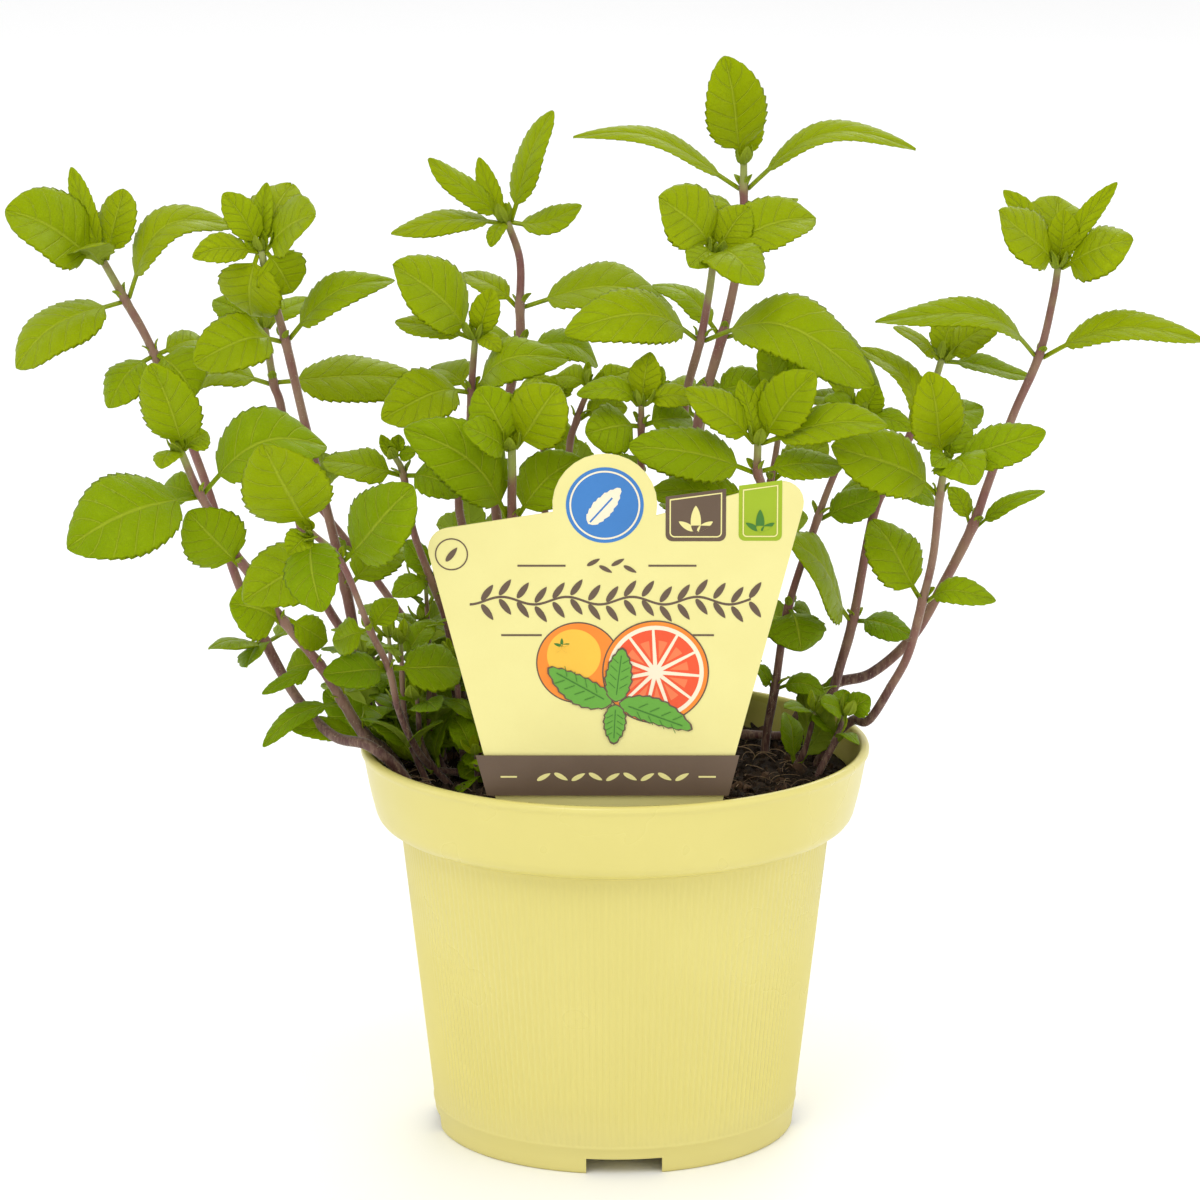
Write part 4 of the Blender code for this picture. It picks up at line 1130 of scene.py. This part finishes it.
fibre_tree, fibre = group("fibres", "Density", "Length", "Thickness", "Seed", "Look")
spots = soil_spots(fibre_tree, fibre, FIBRE_REACH)
half = fibre["Length"] * 0.5
start, end = fibre_tree.vector(half * -1), fibre_tree.vector(half)
middle = fibre_tree.vector(0.0, half * 0.5, half * 0.7)
sockets = {"Resolution": 5, "Start": start, "Middle": middle, "End": end}
arc = fibre_tree.node("GeometryNodeCurveQuadraticBezier", None, sockets)
sockets = {"Resolution": 3, "Radius": fibre["Thickness"]}
ring = fibre_tree.node("GeometryNodeCurvePrimitiveCircle", None, sockets)
sockets = {"Curve": arc, "Profile Curve": ring, "Fill Caps": True}
strand = fibre_tree.node("GeometryNodeCurveToMesh", None, sockets)
spin = fibre_tree.random((-0.5, -0.5, 0), (0.5, 0.5, 6.28))
sizes = fibre_tree.random(0.3, 1.3)
sockets = {"Points": spots, "Instance": strand, "Rotation": spin, "Scale": sizes}
strands = fibre_tree.node("GeometryNodeInstanceOnPoints", None, sockets)
close_group(fibre_tree, strands, fibre["Look"])


def fibre_finish(tree):
    tan = tree.mix(tree.noise(tree.place(), 70.0).ramp(0.35, 0.65), (0.10, 0.055, 0.028), (0.30, 0.20, 0.11))
    return tree.shader({"Base Color": tan, "Roughness": 0.85})


def bark_finish(tree):
    place = tree.place()
    grain = tree.noise(place, 700.0, 4.0, 0.6)
    kind = tree.noise(place, 150.0, 1.0)
    bark = tree.mix(kind.ramp(0.42, 0.62), (0.014, 0.008, 0.005), (0.085, 0.045, 0.025))
    colour = tree.mix(grain.ramp(0.45, 0.8) * 0.5, bark, (0.15, 0.10, 0.06))
    sockets = {"Base Color": colour, "Roughness": 0.9, "Normal": tree.bump(grain, 0.0004)}
    sockets |= {"Specular IOR Level": 0.3}
    return tree.shader(sockets)


FIBRE, BARK = finish("root_fibre", fibre_finish), finish("bark", bark_finish)
scatters = (
    ("soil_crumbs", crumb_tree, dict(Density=0.34e6, Size=0.9 * MM, Flatness=0.8, Seed=1, Look=SOIL)),
    ("bark_chips", crumb_tree, dict(Density=0.035e6, Size=2.1 * MM, Flatness=0.4, Seed=5, Look=BARK)),
    ("root_fibres", fibre_tree, dict(Density=0.05e6, Length=7 * MM, Thickness=0.11 * MM, Seed=9, Look=FIBRE)),
)
for name, tree, values in scatters:
    scattered = grow(temporary(name, block.copy()), tree, **values)
    mesh = plain_mesh(scattered, name)
    piece(name, mesh, values["Look"])
    print(name, len(mesh.polygons), "faces")

# %% [markdown]
# ## The plant label
# The label is a stiff printed card on a stake. Its card and its brown strip are already the right shape in the
# model, so they only get a paper finish. The print is laid on as very thin flat shapes, one piece for
# each ink: plain tabs, a sprig border where a title would be, and a cut citrus fruit with mint leaves.

# %% Card
LABEL_STAND = (0.0, -46.0, 90.0)  # the middle of the card's lower edge
LABEL_LEAN = math.radians(2.0)
CARD_FRONT, STRIP_FRONT = 0.3, 1.1  # how far their faces stand before the card's middle
INK = 0.02  # half the thickness of the ink
RIM_LINE = 0.3  # how wide the tabs' inset lines are


def paper_finish(colour, fleck):
    def make(tree):
        place = tree.place()
        cloud, fibres = tree.noise(place, 60.0, 3.0), tree.noise(place, 1500.0, 5.0, 0.7)
        tint = tree.mix(cloud.ramp(0.35, 0.65) * 0.35, colour, fleck)
        tint = tree.mix(fibres.ramp(0.55, 0.75) * 0.25, tint, fleck)
        sockets = {"Base Color": tint, "Roughness": fibres.ramp(0.3, 0.7, 0.48, 0.62)}
        sockets |= {"Specular IOR Level": 0.4}
        return tree.shader(sockets | {"Normal": tree.bump(fibres, 0.00004, 0.4)})

    return make


CREAM = finish("card_cream", paper_finish((0.795, 0.73, 0.295), (0.745, 0.67, 0.255)))
BROWN = finish("card_brown", paper_finish((0.115, 0.074, 0.045), (0.15, 0.10, 0.065)))
for node, look, slot in (("plant_label", CREAM, "label"), ("label_band", BROWN, "label_brown")):
    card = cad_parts[node]
    card.data.materials.clear()
    card.data.materials.append(look)


# %% Flat shapes
def circle(x, y, radius, steps=48):
    """A round outline."""
    turns = 2 * math.pi * np.arange(steps) / steps
    return np.stack([x + radius * np.cos(turns), y + radius * np.sin(turns)], 1)


def bar(x0, y0, x1, y1, half):
    """A line with some width."""
    start, end = np.array([x0, y0]), np.array([x1, y1])
    aside = unit(np.array([y0 - y1, x1 - x0])) * half
    return np.array([start - aside, end - aside, end + aside, start + aside])


def leaflet(x, y, length, width, angle, teeth=0, bow=0.0):
    """A leaf's outline from its foot at x, y."""
    t = np.linspace(0, 1, 25)
    half = width / 2 * 2.04 * t**0.6 * (1 - t) ** 0.8
    half += (t * teeth % 1) * width * 0.07 * (teeth > 0) * (t < 0.97)
    spine = bow * length * np.sin(math.pi * t)
    upper, lower = (np.stack([t * length, edge], 1) for edge in (spine + half, spine - half))
    outline = np.concatenate([upper, lower[-2:0:-1]])
    turn = np.array([[math.cos(angle), math.sin(angle)], [-math.sin(angle), math.cos(angle)]])
    return outline @ turn + (x, y)


def arc_points(x, y, radius, turns):
    """Points on a circle, at these angles."""
    return [(x + radius * math.cos(a), y + radius * math.sin(a)) for a in turns]


def rounded(x0, y0, x1, y1, radius, slope=0.0):
    """A block with round lower corners, and a sloping upper edge."""
    outline = [(x0, y1)]
    for cx, cy, first in ((x0 + radius, y0 + radius, 180), (x1 - radius, y0 + radius, 270)):
        outline += arc_points(cx, cy, radius, np.radians(np.linspace(first, first + 90, 7)))
    return np.array(outline + [(x1, y1 + slope)])


def print_ink(name, outlines, look, layer=0, front=CARD_FRONT):
    """Lays flat shapes on the card. Where one lies inside another it is a hole in it."""
    curve = bpy.data.curves.new(name, "CURVE")
    curve.dimensions, curve.fill_mode, curve.extrude = "2D", "BOTH", INK * MM
    for outline in outlines:
        spline = curve.splines.new("POLY")
        spline.points.add(len(outline) - 1)
        for point, (x, y) in zip(spline.points, outline):
            point.co = (x * MM, y * MM, 0, 1)
        spline.use_cyclic_u = True
    sheet = temporary(name, curve)
    sheet.rotation_euler.x = math.pi / 2 + LABEL_LEAN
    forward = front + INK * (1 + 2 * layer) + 0.01
    sheet.location = (
        LABEL_STAND[0] * MM,
        (LABEL_STAND[1] - forward * math.cos(LABEL_LEAN)) * MM,
        (LABEL_STAND[2] - forward * math.sin(LABEL_LEAN)) * MM,
    )
    bpy.context.view_layer.update()
    mesh = plain_mesh(sheet, name)
    shape = bmesh.new()
    shape.from_mesh(mesh)
    bmesh.ops.remove_doubles(shape, verts=shape.verts, dist=0.0005 * MM)
    shape.to_mesh(mesh)
    shape.free()
    piece(name, mesh, look)


def ink(name, colour, shade=None):
    return finish(name, paper_finish(colour, shade or tuple(c * 0.82 for c in colour)))


GREEN = ink("ink_green", (0.33, 0.46, 0.01))
LEAF_INK = ink("ink_leaf", (0.13, 0.38, 0.04))
DEEP = ink("ink_deep", (0.05, 0.19, 0.02))
ORANGE = ink("ink_orange", (0.85, 0.22, 0.02), (0.88, 0.35, 0.03))
PEEL = ink("ink_peel", (0.90, 0.52, 0.05))
RED = ink("ink_red", (0.82, 0.09, 0.025))
PITH, BLUE = ink("ink_pith", (0.88, 0.79, 0.58)), ink("ink_blue", (0.045, 0.20, 0.52))
FLESH = ink("ink_flesh", (0.86, 0.20, 0.07))

# %% [markdown]
# The border where a title would stand is a leafy twig drawn by rule: a wavy line with pairs of leaflets. The
# badge on the round head is a plain blue disc with a pale ring and a leaf. The two tabs have fine inset lines.

# %% Border, tabs and badge
steps = np.linspace(-33.5, 31.0, 80)
twig = 50.4 + 0.9 * np.sin(steps * 0.42)
stalk = np.concatenate([np.stack([steps, twig + 0.28], 1), np.stack([steps, twig - 0.28], 1)[::-1]])
print_ink("label_twig", [stalk], BROWN)
brown = []
for k, x in enumerate(np.arange(-31.0, 30.5, 4.1)):
    y = 50.4 + 0.9 * math.sin(x * 0.42)
    for side in (1, -1):
        brown.append(leaflet(x + 0.2, y + side * 0.45, 4.6, 1.9, side * 0.95))
brown += [bar(-22.5, 58.7, -11.5, 58.7, 0.22), bar(7.5, 58.7, 18.5, 58.7, 0.22)]
brown += [bar(-26.3, 42.2, -17.0, 42.2, 0.22), bar(13.5, 42.2, 22.6, 42.2, 0.22)]
for x, tilt in ((-6.6, 0.5), (-3.8, -0.5), (-1.0, 0.5), (1.8, -0.5)):
    brown.append(leaflet(x, 58.7, 3.4, 1.3, tilt))
brown += [circle(-37.6, 61.4, 3.8), circle(-37.6, 61.4, 3.5), leaflet(-38.9, 59.7, 4.2, 1.7, 0.9)]
brown.append(rounded(11.4, 64.5, 25.2, 75.0, 1.6, 1.9))
print_ink("label_brown_print", brown, BROWN, layer=1)
TAB_LINES = ((12.3, 65.4, 24.3, 74.4, 1.2, 1.6), (29.0, 65.5, 37.1, 76.7, 1.0, 1.1))
print_ink("label_green_tab", [rounded(28.1, 64.6, 38.0, 77.6, 1.4, 1.3)], GREEN)
sprigs = [leaflet(18.3, 66.3, 6.6, 3.0, 1.57)]
sprigs += [leaflet(18.0, 67.0, 4.2, 1.9, 2.6), leaflet(18.6, 67.0, 4.2, 1.9, 0.54)]
print_ink("label_tab_sprig", sprigs, CREAM, layer=2)
sprigs = [leaflet(33.0, 66.4, 5.6, 2.5, 1.57)]
sprigs += [leaflet(32.8, 67.0, 3.6, 1.6, 2.6), leaflet(33.2, 67.0, 3.6, 1.6, 0.54)]
print_ink("label_tab_leaf", sprigs, DEEP, layer=2)
tab_rims = []
for x0, y0, x1, y1, radius, slope in TAB_LINES:
    tab_rims.append(rounded(x0, y0, x1, y1, radius, slope))
    inner = (x0 + RIM_LINE, y0 + RIM_LINE, x1 - RIM_LINE, y1 - RIM_LINE, radius - RIM_LINE)
    tab_rims.append(rounded(*inner, slope))
print_ink("label_tab_lines", tab_rims, CREAM, layer=2)
print_ink("label_badge", [circle(-2.5, 73.0, 8.9, 72)], BLUE)
print_ink("label_badge_ring", [circle(-2.5, 73.0, 8.1, 72), circle(-2.5, 73.0, 7.7, 72)], PITH, layer=1)
badge_leaf = [leaflet(-6.3, 68.6, 11.2, 5.4, 0.85, 7), bar(-5.9, 69.0, -0.8, 74.7, 0.22)]
print_ink("label_badge_leaf", badge_leaf, PITH, layer=1)

# %% Fruit and leaves
CUT, WHOLE = (9.2, 33.4, 12.0), (-8.6, 35.6, 9.4)
SEGMENTS, OUTLINE = 11, 0.32
print_ink("label_whole_edge", [circle(WHOLE[0], WHOLE[1], WHOLE[2] + OUTLINE, 72)], BROWN)
print_ink("label_whole_fruit", [circle(*WHOLE, 72)], ORANGE, layer=1)
print_ink("label_fruit_glow", [circle(-9.6, 37.4, 6.2, 60)], PEEL, layer=2)
calyx = [leaflet(-12.4, 39.6, 1.9, 0.9, 2 * math.pi * k / 5 + 0.3) for k in range(5)]
print_ink("label_fruit_calyx", calyx, DEEP, layer=3)
print_ink("label_cut_edge", [circle(CUT[0], CUT[1], CUT[2] + OUTLINE, 72)], BROWN, layer=2)
print_ink("label_cut_fruit", [circle(*CUT, 72)], ORANGE, layer=3)
print_ink("label_cut_pith", [circle(CUT[0], CUT[1], 11.1, 72)], PITH, layer=4)
wedges, hearts = [], []
for k in range(SEGMENTS):
    middle = 2 * math.pi * k / SEGMENTS + 0.2
    for shapes, near, far, spread in ((wedges, 1.7, 10.1, 0.255), (hearts, 3.2, 7.6, 0.14)):
        arc = arc_points(CUT[0], CUT[1], far, np.linspace(middle - spread, middle + spread, 8))
        shapes.append(np.array([(CUT[0] + near * math.cos(middle), CUT[1] + near * math.sin(middle)), *arc]))
print_ink("label_cut_segments", wedges, RED, layer=5)
print_ink("label_cut_flesh", hearts, FLESH, layer=6)
leaves = [  # the foot's two numbers, then length, width, angle, teeth and bow
    (-1.0, 26.0, 16.5, 7.6, 2.62, 8, 0.06), (1.0, 26.0, 17.5, 6.8, -0.36, 8, 0.06),
    (0.0, 26.5, 12.5, 6.6, 1.45, 7, 0.0), (0.0, 25.5, 9.0, 5.6, -1.62, 6, 0.0),
]
for name, pair, layer in (("label_mint_leaves", leaves[:2], 7), ("label_mint_leaves_front", leaves[2:], 9)):
    edges = []
    for x, y, length, width, angle, teeth, bow in pair:
        foot = (x - 0.3 * math.cos(angle), y - 0.3 * math.sin(angle))
        edges.append(leaflet(*foot, length + 0.8, width + 0.8, angle, teeth, bow))
    print_ink(f"{name}_edge", edges, BROWN, layer=layer)
    print_ink(name, [leaflet(*one) for one in pair], LEAF_INK, layer=layer + 1)
ribs, veins = [], []
for x, y, length, width, angle, teeth, bow in leaves:
    along = np.array([math.cos(angle), math.sin(angle)])
    across = np.array([-math.sin(angle), math.cos(angle)])
    foot = np.array([x, y])
    ribs.append(bar(*(foot + along * length * 0.12), *(foot + along * length * 0.88), 0.12))
    for t in np.arange(0.25, 0.75, 0.16):
        for side in (0.5, -0.5):
            root = foot + along * length * t + across * side
            veins.append(bar(*root, *(root + along * length * 0.1 + across * side * width * 0.5), 0.07))
print_ink("label_mint_ribs", ribs, DEEP, layer=11)
print_ink("label_mint_veins", veins, DEEP, layer=12)

dashes = [bar(-26.6, 8.4, -22.8, 8.4, 0.2), bar(19.2, 8.4, 23.2, 8.4, 0.2)]
for k in range(9):
    dashes.append(leaflet(-18.2 + 4.0 * k, 8.4 - 0.9 * (-1) ** k, 3.6, 1.4, 0.5 * (-1) ** k))
print_ink("label_strip_print", dashes, CREAM, front=STRIP_FRONT)
print(sum(name.startswith("label_") for name in PIECES), "inks")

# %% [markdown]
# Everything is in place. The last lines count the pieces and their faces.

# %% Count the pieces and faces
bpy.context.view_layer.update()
faces = sum(len(one.data.polygons) for one in PIECES.values())
print(len(PIECES), "pieces,", faces, "faces")
